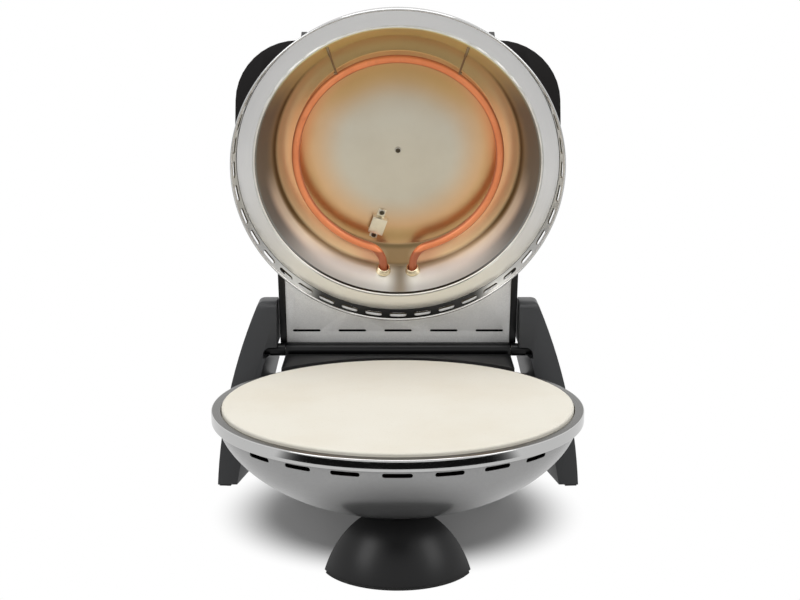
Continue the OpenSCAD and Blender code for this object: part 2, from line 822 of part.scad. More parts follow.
module cord_gland() {
    color([0.05, 0.05, 0.05]) at_control(gland_x) difference() {
        union() {
            cylinder(r = gland_r + 3, h = 4, $fn = 6);
            translate([0, 0, 3]) cylinder(r = gland_r + 0.5, h = 6, $fn = small);
            translate([0, 0, -9]) cylinder(r = gland_r, h = 10, $fn = small);
            translate([0, 0, -cover_t - 3.5]) cylinder(r = gland_r + 3, h = 3.5, $fn = 6);
        }
        translate([0, 0, -10]) cylinder(r = 3.6, h = 30, $fn = small);
    }
}

module lid_shell() {
    outer = bowl_curve(dome_r, dome_h);
    inner = bowl_curve(dome_r - shell_t, dome_h - shell_t);
    color([0.68, 0.68, 0.68]) at_lid() difference() {
        rotate_extrude($fn = fine) polygon(concat(
            [for (p = outer) [p[0], dome_edge_w + p[1]]],
            reversed([for (p = inner) [p[0], dome_edge_w + p[1]]])));
        at_handle_screws() translate([0, 0, -40]) cylinder(r = 2.2, h = 40, $fn = small);
    }
}

module lid_rim_band() {
    bead_r = lid_r - lip_bead_r;
    color([0.85, 0.85, 0.86]) at_lid() difference() {
        union() {
            rotate_extrude($fn = fine) polygon([
                [bead_r, lip_bead_r], [band_top_r, lip_h], [band_top_r, band_h],
                [band_top_r - trim_t, band_h], [band_top_r - trim_t, lip_h],
                [bead_r - trim_t, lip_bead_r]]);
            rotate_extrude($fn = fine) translate([bead_r, lip_bead_r])
                circle(r = lip_bead_r, $fn = 16);
        }
        for (i = [0:band_slots - 1]) rotate([0, 0, i * 360 / band_slots])
            translate([0, -lid_r, band_slot_w]) slot_cut(band_slot_len, band_slot_high, 16);
    }
}

module lid_flange_ring() {
    color([0.78, 0.77, 0.74]) at_lid() rotate_extrude($fn = fine) polygon([
        [flange_in_r, lip_h], [dome_r, lip_h], [dome_r, lip_h + trim_t],
        [skirt_r, lip_h + trim_t], [skirt_r, lip_h + skirt_h], [skirt_r - trim_t, lip_h + skirt_h],
        [skirt_r - trim_t, lip_h + trim_t], [flange_in_r, lip_h + trim_t]]);
}

// Depth profile of the pot, as a line from its flange to its middle
function pot_line(t) = [
    [flange_in_r + 10, lip_h + trim_t + t],
    [pot_r + t, lip_h + trim_t + t],
    [shoulder_r + t * 0.9, shoulder_w + t * 0.4],
    [pot_floor_r + t * 0.4, pot_floor_w + t],
    [0, pot_floor_w + t]];

module upper_reflector() {
    color([0.74, 0.73, 0.7]) at_lid() difference() {
        rotate_extrude($fn = fine)
            polygon(concat(reversed(pot_line(0)), pot_line(pan_t)));
        for (s = [-1, 1]) translate([s * terminal_x, pot_floor_r, upper_tube_w])
            rotate([-90, 0, 0]) cylinder(r = tube_d / 2 + 0.6, h = 40, $fn = small);
        at_supports() translate([0, 0, support_len - 8]) cylinder(r = 1.4, h = 20, $fn = small);
        at_reflector_screws() cylinder(r = 1.8, h = 20, center = true, $fn = small);
    }
}

module upper_element() {
    color([0.88, 0.5, 0.36]) at_lid() translate([0, 0, upper_tube_w])
        heating_tube(upper_loop_r, upper_end_len);
}

// Eyelets that sit square on the pot's wall where the tube's ends pass through
module element_ferrules() {
    color([0.82, 0.82, 0.8]) at_lid() both_sides() difference() {
        translate([terminal_x, ferrule_y, upper_tube_w])
            rotate([90 + pot_slope, 0, -asin(terminal_x / ferrule_y)])
            translate([0, 0, 2 * nest]) rotate_extrude($fn = small)
            polygon([[tube_d / 2 + 1.2, 0], [ferrule_r + 0.5, 0], [ferrule_r, 1.6],
                [tube_d / 2 + 2, 2.2], [tube_d / 2 + 1.2, 1.6]]);
        translate([terminal_x, ferrule_y, upper_tube_w]) rotate([90, 0, 0])
            cylinder(d = tube_d + 0.7, h = 30, center = true, $fn = small);
    }
}

module upper_terminals() {
    color([0.9, 0.88, 0.82]) at_lid() translate([0, 0, upper_tube_w])
        tube_terminals(tube_end_y(upper_loop_r) + upper_end_len);
}

// Wire supports run from the loop out to the pot's wall
module at_supports() {
    at_loop_supports() rotate([0, 0, -support_lean]) rotate([0, 90 + support_rise, 0])
        translate([0, 0, tube_d / 2]) children();
}

// Where the supports hold the loop, with +X pointing outwards from the middle
module at_loop_supports() {
    both_sides() rotate([0, 0, support_angle - 90])
        translate([upper_loop_r, 0, upper_tube_w]) children();
}

module element_supports() {
    clip_r = tube_d / 2 + 0.9;
    color([0.6, 0.58, 0.54]) at_lid() {
        at_loop_supports() rotate([90, 0, 0]) rotate_extrude($fn = small)
            translate([clip_r, 0]) circle(r = 0.8, $fn = 16);
        at_supports() translate([0, 0, 0.6]) cylinder(r = 1.1, h = support_len, $fn = 16);
    }
}

// Small folded sheet bracket on the pot's floor
module probe_bracket() {
    wide = 15;
    long = 17;
    tall = 9;
    color([0.78, 0.76, 0.7]) at_lid()
        translate([probe_x, probe_y, pot_floor_w - nest / 2]) rotate([180, 0, probe_turn]) {
            difference() {
                translate([-wide / 2, -long / 2, 0]) cube([wide, long, tall]);
                translate([-wide / 2 - 1, -long / 2 + trim_t, -1])
                    cube([wide + 2, long - 2 * trim_t, tall + 1 - trim_t]);
            }
            for (s = [-1, 1]) difference() {
                translate([-4, s * (long / 2 + 3.5) - 4, 0]) cube([8, 8, trim_t]);
                translate([0, s * (long / 2 + 4.5), -1]) cylinder(r = 1.6, h = 4, $fn = small);
            }
        }
}

module at_reflector_screws() {
    translate([0, 0, pot_floor_w]) rotate([180, 0, 0]) children();
    translate([probe_x, probe_y, pot_floor_w]) rotate([180, 0, probe_turn])
        for (s = [-1, 1]) translate([0, s * 13, trim_t + nest / 2]) children();
}

module reflector_screws() {
    color([0.6, 0.58, 0.52]) at_lid() at_reflector_screws() screw(1.5, 3.2, 2, 9);
}

module insulation_blanket() {
    low = pot_floor_w + pan_t + nest;
    top_r = pot_floor_r - 22;
    color([0.86, 0.84, 0.78]) at_lid() difference() {
        rotate_extrude($fn = fine) polygon([[0, low], [top_r + 18, low], [top_r + 18, low + 4],
            [top_r, low + 10], [0, low + 10]]);
        at_reflector_screws() cylinder(r = 2.5, h = 40, center = true, $fn = small);
    }
}

// Plan of the handle: a wide U with round corners, its open side towards the hinge
module handle_plan(inset) {
    half = handle_w / 2 - inset;
    reach = handle_run - inset;
    r = handle_corner - inset;
    polygon(concat(
        [[-half, handle_tail]],
        arc(-half + r, -reach + r, r, 180, 270, 10),
        arc(half - r, -reach + r, r, 270, 360, 10),
        [[half, handle_tail]]));
}

module at_handle() {
    translate([0, 0, handle_root_w]) rotate([-handle_tilt, 0, 0]) children();
}

// Screws that hold the handle's ends on the dome's sides, heads outwards
module at_handle_screws() {
    for (s = [-1, 1]) translate([s * (handle_w / 2 - 5), 2, handle_root_w - 2])
        rotate([0, s * 90, 0]) children();
}

module handle() {
    color([0.07, 0.07, 0.07]) at_lid() difference() {
        at_handle() translate([0, 0, -handle_t / 2]) linear_extrude(handle_t) difference() {
            handle_plan(0);
            handle_plan(handle_d);
            translate([-handle_w / 2 + handle_d, 0]) square([handle_w - 2 * handle_d, 40]);
        }
        dome_space(gap);
        at_handle_screws() {
            cylinder(r = 4.4, h = 20, $fn = small);
            translate([0, 0, -40]) cylinder(r = 2.1, h = 60, $fn = small);
        }
    }
}

// A sheet bracket stands on the dome under each end of the bar, and its tip shows in front
module handle_brackets() {
    p = [-cos(handle_tilt), sin(handle_tilt)];
    n = [sin(handle_tilt), cos(handle_tilt)];
    front = [-handle_reach, handle_up] - n * (handle_t / 2 + nest);
    rear = front - p * handle_d;
    tip = front + p + [-6.5, 3];
    color([0.66, 0.66, 0.66]) at_lid() for (s = [-1, 1]) difference() {
        translate([s * bracket_x - bracket_t / 2, 0, 0]) rotate([90, 0, 90])
            linear_extrude(bracket_t)
            polygon([[rear[0] + 16, 20], [rear[0] - 4, 20], tip + [2, -12], tip, front, rear,
                rear + [9, -4]]);
        dome_space(0);
    }
}

module handle_screws() {
    color([0.75, 0.75, 0.75]) at_lid() at_handle_screws() screw(2, 4, 2.4, 20);
}

// Side view of the neck: [y, w], from the barrel up to the cover
function neck_side(t) = concat(
    [[neck_from_y, neck_front_w - t], [neck_back_y - t, neck_front_w - t]],
    arc(neck_back_y - neck_corner, neck_h - neck_corner, neck_corner - t, 0, 90, 6),
    [[neck_from_y, neck_h - t]]);

module neck_block(half, t) {
    rotate([90, 0, 90]) translate([0, 0, -half]) linear_extrude(2 * half) polygon(neck_side(t));
}

// The neck's flat cover, set into the housing's top
module neck_cover_plate(clear) {
    translate([-panel_half - clear, neck_from_y, neck_h - wall - 0.01])
        cube([2 * (panel_half + clear), neck_back_y - neck_corner - 2 + clear - neck_from_y,
            wall + 1]);
}

module at_neck_screws() {
    for (x = [-1, 1] * (panel_half - 5))
        for (y = [dome_r - 44, neck_back_y - neck_corner - 9])
            translate([x, y, neck_h]) children();
}

module neck_housing() {
    color([0.08, 0.08, 0.08]) at_lid() difference() {
        union() {
            difference() {
                neck_block(neck_w / 2, 0);
                difference() {
                    neck_block(panel_half, wall);
                    at_neck_screws() translate([0, 0, -24]) cylinder(r = 5.5, h = 30, $fn = small);
                }
            }
            at_barrel() cylinder(r = barrel_r, h = 2 * barrel_half, center = true, $fn = fine);
        }
        neck_cover_plate(nest);
        dome_space(gap);
        both_sides() {
            at_barrel() translate([0, 0, barrel_half]) cylinder(r = boss_r + 0.8, h = 40, $fn = fine);
            at_barrel() translate([0, 0, barrel_half - bush_len])
                cylinder(r = bush_r, h = 40, $fn = fine);
            at_barrel() translate([0, 0, barrel_half - bush_len - 4])
                cylinder(r = pin_r + 0.5, h = 40, $fn = fine);
        }
        at_neck_screws() translate([0, 0, -18]) cylinder(r = 1.8, h = 40, $fn = small);
    }
}

// Along the hinge axis in the lid's frame
module at_barrel() {
    translate([0, hinge_y, hinge_w]) rotate([0, 90, 0]) children();
}

module neck_cover() {
    color([0.08, 0.08, 0.08]) at_lid() difference() {
        intersection() {
            neck_cover_plate(0);
            translate([-neck_w, 0, 0]) cube([2 * neck_w, 2 * hinge_y, neck_h]);
        }
        dome_space(gap);
        at_neck_screws() cylinder(r = 1.9, h = 20, center = true, $fn = small);
    }
}

module neck_panel() {
    color([0.7, 0.7, 0.7]) at_lid() difference() {
        translate([-panel_half + nest, 0, panel_w])
            cube([2 * (panel_half - nest), hinge_y - barrel_r + 1.5, trim_t]);
        dome_space(gap);
        for (i = [0:panel_slots - 1])
            translate([(i - (panel_slots - 1) / 2) * panel_slot_pitch, hinge_y - 19, panel_w])
            rotate([90, 0, 0]) slot_cut(panel_slot_len, panel_slot_high, 6);
    }
}

module neck_screws() {
    color([0.75, 0.75, 0.75]) at_lid() at_neck_screws() screw(1.7, 3.4, 1.8, 14);
}

module hinge_bushes() {
    color([0.75, 0.62, 0.35]) at_lid() both_sides() at_barrel()
        translate([0, 0, barrel_half - bush_len]) difference() {
            cylinder(r = bush_r, h = bush_len, $fn = fine);
            translate([0, 0, -1]) cylinder(r = pin_r + pin_play, h = bush_len + 2, $fn = fine);
        }
}

// Moves the model so that its origin lies under the middle of its box
module place() {
    translate([0, shift_y, 0]) children();
}

place() bowl_shell();
place() rim_ring();
place() lower_reflector();
place() lower_element();
place() lower_element_clips();
place() lower_terminals();
place() baking_stone();
place() front_foot();
place() front_foot_pad();
place() foot_screws();
place() left_leg();
place() right_leg();
place() left_leg_cover();
place() right_leg_cover();
place() rear_foot_pads();
place() leg_screws();
place() hinge_bosses();
place() hinge_pins();
place() rear_housing();
place() housing_screws();
place() housing_cover();
place() cover_screws();
place() thermostat();
place() thermostat_knob();
place() pilot_lamp();
place() terminal_block();
place() cord_gland();
place() lid_shell();
place() lid_rim_band();
place() lid_flange_ring();
place() upper_reflector();
place() upper_element();
place() element_ferrules();
place() element_supports();
place() upper_terminals();
place() probe_bracket();
place() reflector_screws();
place() insulation_blanket();
place() handle();
place() handle_brackets();
place() handle_screws();
place() neck_housing();
place() neck_cover();
place() neck_panel();
place() neck_screws();
place() hinge_bushes();
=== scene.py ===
# Looks for an electric pizza maker: a silver bowl on a half-dome foot, and a domed lid that
# stands open between two tall legs. Sizes are in millimetres around the bowl's axis, as in
# the part's source, and to_metres() moves a finished piece into the frame.
import json
import math

import bpy
from mathutils import Matrix, Vector


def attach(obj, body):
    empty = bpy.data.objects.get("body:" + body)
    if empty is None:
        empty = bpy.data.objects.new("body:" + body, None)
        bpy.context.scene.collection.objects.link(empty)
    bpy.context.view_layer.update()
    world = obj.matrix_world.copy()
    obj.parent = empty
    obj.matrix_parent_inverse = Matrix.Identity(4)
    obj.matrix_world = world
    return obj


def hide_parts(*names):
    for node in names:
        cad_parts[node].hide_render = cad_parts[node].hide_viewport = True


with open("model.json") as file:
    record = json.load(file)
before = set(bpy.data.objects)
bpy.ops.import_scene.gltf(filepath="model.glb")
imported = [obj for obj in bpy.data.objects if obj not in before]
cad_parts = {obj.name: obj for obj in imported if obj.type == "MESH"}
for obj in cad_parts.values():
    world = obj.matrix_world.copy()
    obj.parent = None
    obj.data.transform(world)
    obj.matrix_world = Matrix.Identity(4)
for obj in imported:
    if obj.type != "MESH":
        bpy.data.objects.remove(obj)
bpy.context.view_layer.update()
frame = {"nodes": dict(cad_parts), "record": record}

cad = frame["nodes"]
ops = bpy.ops

# Sizes. _R is a radius, _D a diameter, _T a thickness, _L a length and _H a height, _X, _Y and
# _Z are places, and _W is a place along the lid's own axis.

# Bowl, rim ring and stone
RIM_Z = 130.0
RIM_R = 165.0
RING_IN_R = 157.0
RING_LOW_Z = 119.5
BOWL_R = 159.2
BOWL_EDGE_Z = 118.0
BOWL_DEPTH = 79.0
SHELL_T = 1.2
BOWL_LIP_R = 163.8
BOWL_LIP_Z = 120.7
BOWL_SLOT_L = 24.5
BOWL_SLOT_H = 3.8
BOWL_SLOT_Z = 115.1
BOWL_SLOT_PITCH = 15.3
STONE_R = 156.0
STONE_TOP = 133.0
STONE_LOW = 118.5
# Play between two pieces that fit into each other
FIT = 0.2
# A bowl's or dome's curve is fuller than an ellipse: the powers of its sine and cosine
CURVE_OUT = 0.94
CURVE_UP = 1.28

# Front foot: a tall ball, cut flat behind
FOOT_Y = 45.0
FOOT_DROP = 32.4
FOOT_BALL_R = 73.1
FOOT_STRETCH = 1.372
FOOT_BACK = 72.0
PAD_T = 3.0

# Lid, in its own frame: the lip's centre is the origin and +Z points into the dome
LID_R = 160.5
BEAD_R = 1.1
BAND_R = 156.5
BAND_H = 19.5
LIP_H = 15.5
# The back of the flange, where the pot's rim lies
SEAT_W = LIP_H + 1
BAND_SLOTS = 40
BAND_SLOT_L = 17.0
BAND_SLOT_H = 5.5
BAND_SLOT_W = 7.45
FLANGE_IN_R = 138.0
FLANGE_BEAD_R = 1.0
SKIRT_R = 152.9
POT_R = 137.0
SHOULDER_R = 121.0
SHOULDER_W = 47.5
POT_FLOOR_R = 102.5
POT_FLOOR_W = 59.0
PAN_T = 0.8
DOME_R = 155.3
DOME_H = 68.0
DOME_EDGE_W = 17.0
LOOP_R = 100.0
TUBE_W = 40.0
TUBE_D = 8.0
TUBE_BEND_R = 22.0
TERMINAL_X = 15.0
EYELET_Y = 123.96
EYELET_SLOPE = 27.3
WIRE_D = 2.0
WIRE_WRAP_R = TUBE_D / 2 + 1.1

# Hinge
HINGE_Y = 195.3
HINGE_Z = 134.3
HINGE_W = 4.0
LID_OPEN = 74.1

# Rear cover with its controls
REAR_Y = 223.3
REAR_Z = 88.5
KNOB_X = -62.0
LAMP_X = -22.0
GLAND_X = 62.0
KNOB_FLUTES = 16
POINTER_FLOOR = 12.2

# The bowl's axis lies this far from the frame's origin
AXIS_Y = -37.65
MM = 0.001


# Places are matrices: a turn about an axis, or a shift

def spin_x(degrees):
    return Matrix.Rotation(math.radians(degrees), 4, "X")


def spin_y(degrees):
    return Matrix.Rotation(math.radians(degrees), 4, "Y")


def spin_z(degrees):
    return Matrix.Rotation(math.radians(degrees), 4, "Z")


def at(x, y, z):
    return Matrix.Translation((x, y, z))


# The bowl's and the lid's own frames, in millimetres and then in metres
IN_FRAME = at(0, AXIS_Y, 0)
IN_LID = (IN_FRAME @ at(0, HINGE_Y, HINGE_Z) @ spin_x(-LID_OPEN)
          @ at(0, -HINGE_Y, -HINGE_W))
BOWL_FRAME = at(0, AXIS_Y * MM, 0)
LID_FRAME = Matrix.Scale(MM, 4) @ IN_LID @ Matrix.Scale(1 / MM, 4)


# Modelling by hand, one operator after another

def deselect():
    """Leaves edit mode, and leaves nothing selected."""
    if bpy.context.object and bpy.context.object.mode != "OBJECT":
        ops.object.mode_set(mode="OBJECT")
    ops.object.select_all(action="DESELECT")


def pick(piece):
    deselect()
    piece.select_set(True)
    bpy.context.view_layer.objects.active = piece


def edit(piece):
    """Enters edit mode with the whole piece selected."""
    pick(piece)
    ops.object.mode_set(mode="EDIT")
    ops.mesh.select_mode(type="VERT")
    ops.mesh.select_all(action="SELECT")


def named(name):
    """Names the active piece and its mesh."""
    piece = bpy.context.object
    piece.name = name
    piece.data.name = name
    return piece


def drawn(name, points, closed=True):
    """A line of points, each extruded from the one before."""
    deselect()
    ops.mesh.primitive_plane_add(size=1)
    line = named(name)
    edit(line)
    ops.mesh.merge(type="CENTER")
    ops.transform.translate(value=points[0])
    run = list(points[1:]) + ([points[0]] if closed else [])
    last = Vector(points[0])
    for point in run:
        step = Vector(point) - last
        ops.mesh.extrude_region_move(TRANSFORM_OT_translate={"value": step})
        last = Vector(point)
    ops.mesh.select_all(action="SELECT")
    ops.mesh.remove_doubles(threshold=1e-4)
    return line


def shaded(piece, sharp=35):
    """Shades all but the sharp edges smooth."""
    pick(piece)
    ops.object.shade_smooth_by_angle(angle=math.radians(sharp))
    return piece


def tidied(piece, sharp=35):
    """Merges doubles, turns the faces outwards and shades the piece."""
    edit(piece)
    ops.mesh.remove_doubles(threshold=1e-3)
    ops.mesh.normals_make_consistent(inside=False)
    return shaded(piece, sharp)


def turned(name, profile, steps=192, sharp=35):
    """A ring or bowl: its half profile (radius, height) spun round the Z axis."""
    piece = drawn(name, [(r, 0, z) for r, z in profile])
    ops.mesh.spin(steps=steps, angle=math.tau, center=(0, 0, 0), axis=(0, 0, 1))
    return tidied(piece, sharp)


def rod(name, r, low, high, steps=32):
    """A round rod to cut with."""
    return turned(name, [(0, low), (r, low), (r, high), (0, high)], steps)


def oblong(left, right, front, back):
    """The four corners of an outline with straight sides."""
    return [(left, front), (right, front), (right, back), (left, back)]


def block(name, outline, low, high, upright=False):
    """An outline extruded from low to high: upwards, or backwards where it stands upright."""
    if upright:
        points, push = [(a, low, b) for a, b in outline], (0, high - low, 0)
    else:
        points, push = [(a, b, low) for a, b in outline], (0, 0, high - low)
    piece = drawn(name, points)
    ops.mesh.edge_face_add()
    ops.mesh.extrude_region_move(TRANSFORM_OT_translate={"value": push})
    return tidied(piece)


def modified(piece, kind, **settings):
    """Adds a modifier with its settings and applies it."""
    pick(piece)
    ops.object.modifier_add(type=kind)
    change = piece.modifiers[-1]
    for key, value in settings.items():
        setattr(change, key, value)
    ops.object.modifier_apply(modifier=change.name)


def softened(piece, width, segments=3, angle=30):
    """Rounds the edges that turn by more than an angle."""
    modified(piece, "BEVEL", width=width, segments=segments, limit_method="ANGLE",
             angle_limit=math.radians(angle), miter_outer="MITER_ARC", use_clamp_overlap=True)
    return shaded(piece)


def cut(piece, tool, how="DIFFERENCE"):
    """Cuts a piece with another, which is used up."""
    modified(piece, "BOOLEAN", object=tool, operation=how, solver="EXACT")
    pick(tool)
    ops.object.delete()


def joined(name, pieces):
    """Makes one piece of several."""
    deselect()
    for piece in pieces:
        piece.select_set(True)
    bpy.context.view_layer.objects.active = pieces[0]
    ops.object.join()
    return named(name)


def placed(piece, place):
    """Moves a piece by a matrix."""
    pick(piece)
    piece.matrix_world = place @ piece.matrix_world
    ops.object.transform_apply(location=True, rotation=True, scale=True)
    return piece


def copied(piece, place):
    """A copy with its own mesh, moved by a matrix."""
    pick(piece)
    ops.object.duplicate()
    return placed(bpy.context.object, place)


def spread(name, piece, places):
    """The piece at the first of the places, with copies of it at the others."""
    rest = [copied(piece, place) for place in places[1:]]
    placed(piece, places[0])
    return joined(name, [piece] + rest)


def to_metres(piece, place):
    """Moves a finished piece into the frame, in metres."""
    return placed(piece, Matrix.Scale(MM, 4) @ place)


def paired(name, piece):
    """The piece and its twin on the other side of the middle plane."""
    twin = copied(piece, Matrix.Scale(-1, 4, (1, 0, 0)))
    edit(twin)
    ops.mesh.flip_normals()
    deselect()
    return joined(name, [piece, twin])


def from_cad(node, name, width):
    """A finished copy of a CAD node, in millimetres: one skin with its edges rounded."""
    pick(cad[node])
    ops.object.duplicate()
    piece = named(name)
    piece.parent = None
    for key in list(piece.keys()):
        del piece[key]
    placed(piece, IN_FRAME.inverted() @ Matrix.Scale(1 / MM, 4))
    edit(piece)
    ops.mesh.remove_doubles(threshold=0.01)
    ops.mesh.dissolve_limited(angle_limit=math.radians(0.6))
    return softened(piece, width)


def rounded(points, radii, steps, closed=True):
    """An outline with its corners rounded, each by its own radius."""
    count = len(points)
    out = []
    for i, (corner, r) in enumerate(zip(points, radii)):
        if r <= 0 or (not closed and i in (0, count - 1)):
            out.append(tuple(corner))
            continue
        here = Vector(corner)
        a = Vector(points[i - 1]) - here
        b = Vector(points[(i + 1) % count]) - here
        # The rounding takes less than half of each side, which has two corners
        run = min(r / math.tan(a.angle(b) / 2), 0.48 * a.length, 0.48 * b.length)
        a, b = a.normalized() * run, b.normalized() * run
        for k in range(steps + 1):
            t = k / steps
            out.append(tuple(here + a * (1 - t) ** 2 + b * t ** 2))
    return out


def arc(cx, cy, r, start, end, steps):
    """Points along an arc, from a start to an end in degrees."""
    turn = [math.radians(start + (end - start) * i / steps) for i in range(steps + 1)]
    return [(cx + r * math.cos(a), cy + r * math.sin(a)) for a in turn]


def bowl_curve(r, h):
    """The half profile of a bowl, from its pole to its edge, with its heights above the edge."""
    steps = 48
    turn = [math.radians(90 * i / steps) for i in range(steps + 1)]
    return [(r * math.sin(a) ** CURVE_OUT, h * max(math.cos(a), 0) ** CURVE_UP) for a in turn]


def shell_curves(r, h, edge, way):
    """The outer and the inner profile of a sheet steel bowl that goes up or down from its edge."""
    return [[(a, edge + way * b) for a, b in bowl_curve(r - wall, h - wall)]
            for wall in (0, SHELL_T)]


def slot_tool(length, high, radius, z, deep, turns):
    """Slots to be cut through a round wall, at some turns from the front."""
    r = high / 2
    outline = (arc(length / 2 - r, z, r, -90, 90, 8) + arc(-length / 2 + r, z, r, 90, 270, 8))
    slot = block("slots", outline, -radius - deep, -radius + deep, upright=True)
    return spread("slots", slot, [spin_z(turn) for turn in turns])


def tube(name, points, width, sides):
    """A round tube along a line of points."""
    pick(drawn(name, points, closed=False))
    ops.object.convert(target="CURVE")
    wire = bpy.context.object
    wire.data.bevel_depth = width / 2
    wire.data.bevel_resolution = sides
    wire.data.use_fill_caps = True
    ops.object.convert(target="MESH")
    return tidied(named(name), 50)


def screw(name, r, head_r, head_h, length):
    """Pan-head screw, its head's underside at the origin and its shank along -Z."""
    dome = head_h * 0.35
    long, short = head_r * 0.62, head_r * 0.12
    piece = turned(name, [(0, -length), (r * 0.7, -length), (r, -length + r), (r, 0), (head_r, 0),
                          (head_r, head_h - dome), (head_r * 0.93, head_h - dome * 0.45),
                          (head_r * 0.75, head_h - dome * 0.12), (0, head_h)], 32)
    for a, b in ((long, short), (short, long)):
        cut(piece, block("blade", oblong(-a, a, -b, b), head_h * 0.45, head_h + 1))
    return tidied(piece, 30)


# Finishes

class Value:
    """A shader socket that takes part in sums."""

    def __init__(self, nodes, socket):
        self.nodes = nodes
        self.socket = socket

    def maths(self, operation, *others):
        return self.nodes.add("ShaderNodeMath", {"operation": operation},
                              dict(enumerate((self,) + others)))

    def __add__(self, other):
        return self.maths("ADD", other)

    __radd__ = __add__

    def __sub__(self, other):
        return self.maths("SUBTRACT", other)

    def __rsub__(self, other):
        return self * -1 + other

    def __mul__(self, other):
        return self.maths("MULTIPLY", other)

    __rmul__ = __mul__

    def __truediv__(self, other):
        return self.maths("DIVIDE", other)

    def __pow__(self, other):
        return self.maths("POWER", other)

    def __abs__(self):
        return self.maths("ABSOLUTE")

    def either(self, other):
        return self.maths("MAXIMUM", other)

    def step(self, low, high):
        """Goes smoothly from 0 at low to 1 at high."""
        return self.nodes.add("ShaderNodeMapRange", {"interpolation_type": "SMOOTHSTEP"},
                              {"Value": self, "From Min": low, "From Max": high}, "Result")

    def band(self, middle, width):
        """1 at the middle, falling smoothly to 0 at a width to either side."""
        return 1 - abs(self - middle).step(0.0, width)


class Nodes:
    """The nodes of a material or of the world."""

    def __init__(self, tree):
        self.tree = tree

    def add(self, kind, settings, inputs, output=0):
        """A node of a kind, with its settings and the values or links of its sockets."""
        node = self.tree.nodes.new(kind)
        for key, value in settings.items():
            setattr(node, key, value)
        for key, value in inputs.items():
            if isinstance(value, Value):
                self.tree.links.new(value.socket, node.inputs[key])
            else:
                node.inputs[key].default_value = value
        return Value(self, node.outputs[output])

    def by_camera(self):
        """1 for what the camera sees by itself."""
        return self.add("ShaderNodeLightPath", {}, {}, "Is Camera Ray")

    def by_gloss(self):
        """1 for what shows in metal or through glass."""
        glossy, through = [self.add("ShaderNodeLightPath", {}, {}, ray)
                           for ray in ("Is Glossy Ray", "Is Transmission Ray")]
        return glossy.either(through)


class Finish(Nodes):
    """A material, with its pattern read from Object coordinates."""

    def __init__(self, name, colour, roughness, metallic=0.0, **fixed):
        self.material = bpy.data.materials.new(name)
        self.material.use_nodes = True
        self.material.diffuse_color = (*colour, 1)
        super().__init__(self.material.node_tree)
        self.shader = self.tree.nodes["Principled BSDF"]
        self.shader.inputs["Base Color"].default_value = (*colour, 1)
        self.shader.inputs["Roughness"].default_value = roughness
        self.shader.inputs["Metallic"].default_value = metallic
        for key, value in fixed.items():
            self.shader.inputs[key.replace("_", " ")].default_value = value
        self.place = self.add("ShaderNodeTexCoord", {}, {}, "Object")

    def split(self, place=None):
        """The x, y and z of a place, in metres."""
        parts = self.add("ShaderNodeSeparateXYZ", {}, {0: place or self.place}).socket.node
        return [Value(self, parts.outputs[i]) for i in range(3)]

    def moved(self, matrix):
        """The place as read in another frame, in metres."""
        where, turn, _ = matrix.inverted().decompose()
        return self.add("ShaderNodeMapping", {}, {"Vector": self.place, "Location": where,
                                                  "Rotation": turn.to_euler()})

    def noise(self, scale, detail, roughness=0.55, place=None, stretch=None):
        spot = place or self.place
        if stretch:
            spot = self.add("ShaderNodeMapping", {}, {"Vector": spot, "Scale": stretch})
        return self.add("ShaderNodeTexNoise", {},
                        {"Vector": spot, "Scale": scale, "Detail": detail,
                         "Roughness": roughness})

    def lines_round(self, place, detail, roughness):
        """Lines that run round the Z axis of a place: fine across, and long along the turn."""
        across, along = 900.0, 1.4
        x, y, z = self.split(place)
        spot = self.add("ShaderNodeCombineXYZ", {}, {0: radius(x, y) * across, 1: z * across,
                                                     2: y.maths("ARCTAN2", x) * along})
        return self.noise(1.0, detail, roughness, place=spot)

    def grains(self, scale, output="Distance"):
        return self.add("ShaderNodeTexVoronoi", {}, {"Vector": self.place, "Scale": scale},
                        output)

    def mix(self, amount, a, b):
        """A colour between a and b: a at 0 and b at 1."""
        a, b = [colour if isinstance(colour, Value) else (*colour, 1) for colour in (a, b)]
        return self.add("ShaderNodeMix", {"data_type": "RGBA"}, {0: amount, 6: a, 7: b}, 2)

    def set(self, key, value):
        self.tree.links.new(value.socket, self.shader.inputs[key])

    def bump(self, height, strength, depth):
        self.set("Normal", self.add("ShaderNodeBump", {}, {"Height": height, "Strength": strength,
                                                           "Distance": depth}, "Normal"))


def shade(share, colour):
    """A colour made darker, or lighter where the share is over 1."""
    return tuple(share * c for c in colour)


def radius(x, y):
    """Distance from the Z axis."""
    return (x * x + y * y) ** 0.5


def silver_paint(name, tone, metal=0.75):
    """Satin metallic paint: fine flakes, and an even coat that is slightly uneven up close."""
    colour = (tone, tone, tone * 0.995)
    f = Finish(name, colour, 0.24, metal, Coat_Weight=0.12, Coat_Roughness=0.12)
    flake = f.add("ShaderNodeSeparateColor", {}, {0: f.grains(2600.0, "Color")})
    cloud = f.noise(14.0, 4.0)
    f.set("Base Color", f.mix((flake * 0.6 + cloud * 0.4).step(0.15, 0.85),
                              shade(0.9, colour), shade(1.1, colour)))
    f.set("Roughness", 0.2 + cloud * 0.08)
    f.bump(flake * 0.5 + f.noise(420.0, 2.0), 0.05, 0.0002)
    return f.material


def chrome():
    """Bright chrome with a faint wipe in it."""
    f = Finish("chrome", (0.56, 0.56, 0.555), 0.06, 1.0)
    wipe = f.noise(90.0, 5.0, stretch=(1, 1, 6))
    f.set("Roughness", 0.03 + wipe.step(0.35, 0.8) * 0.04)
    f.bump(f.noise(9.0, 2.0), 0.015, 0.0006)
    return f.material


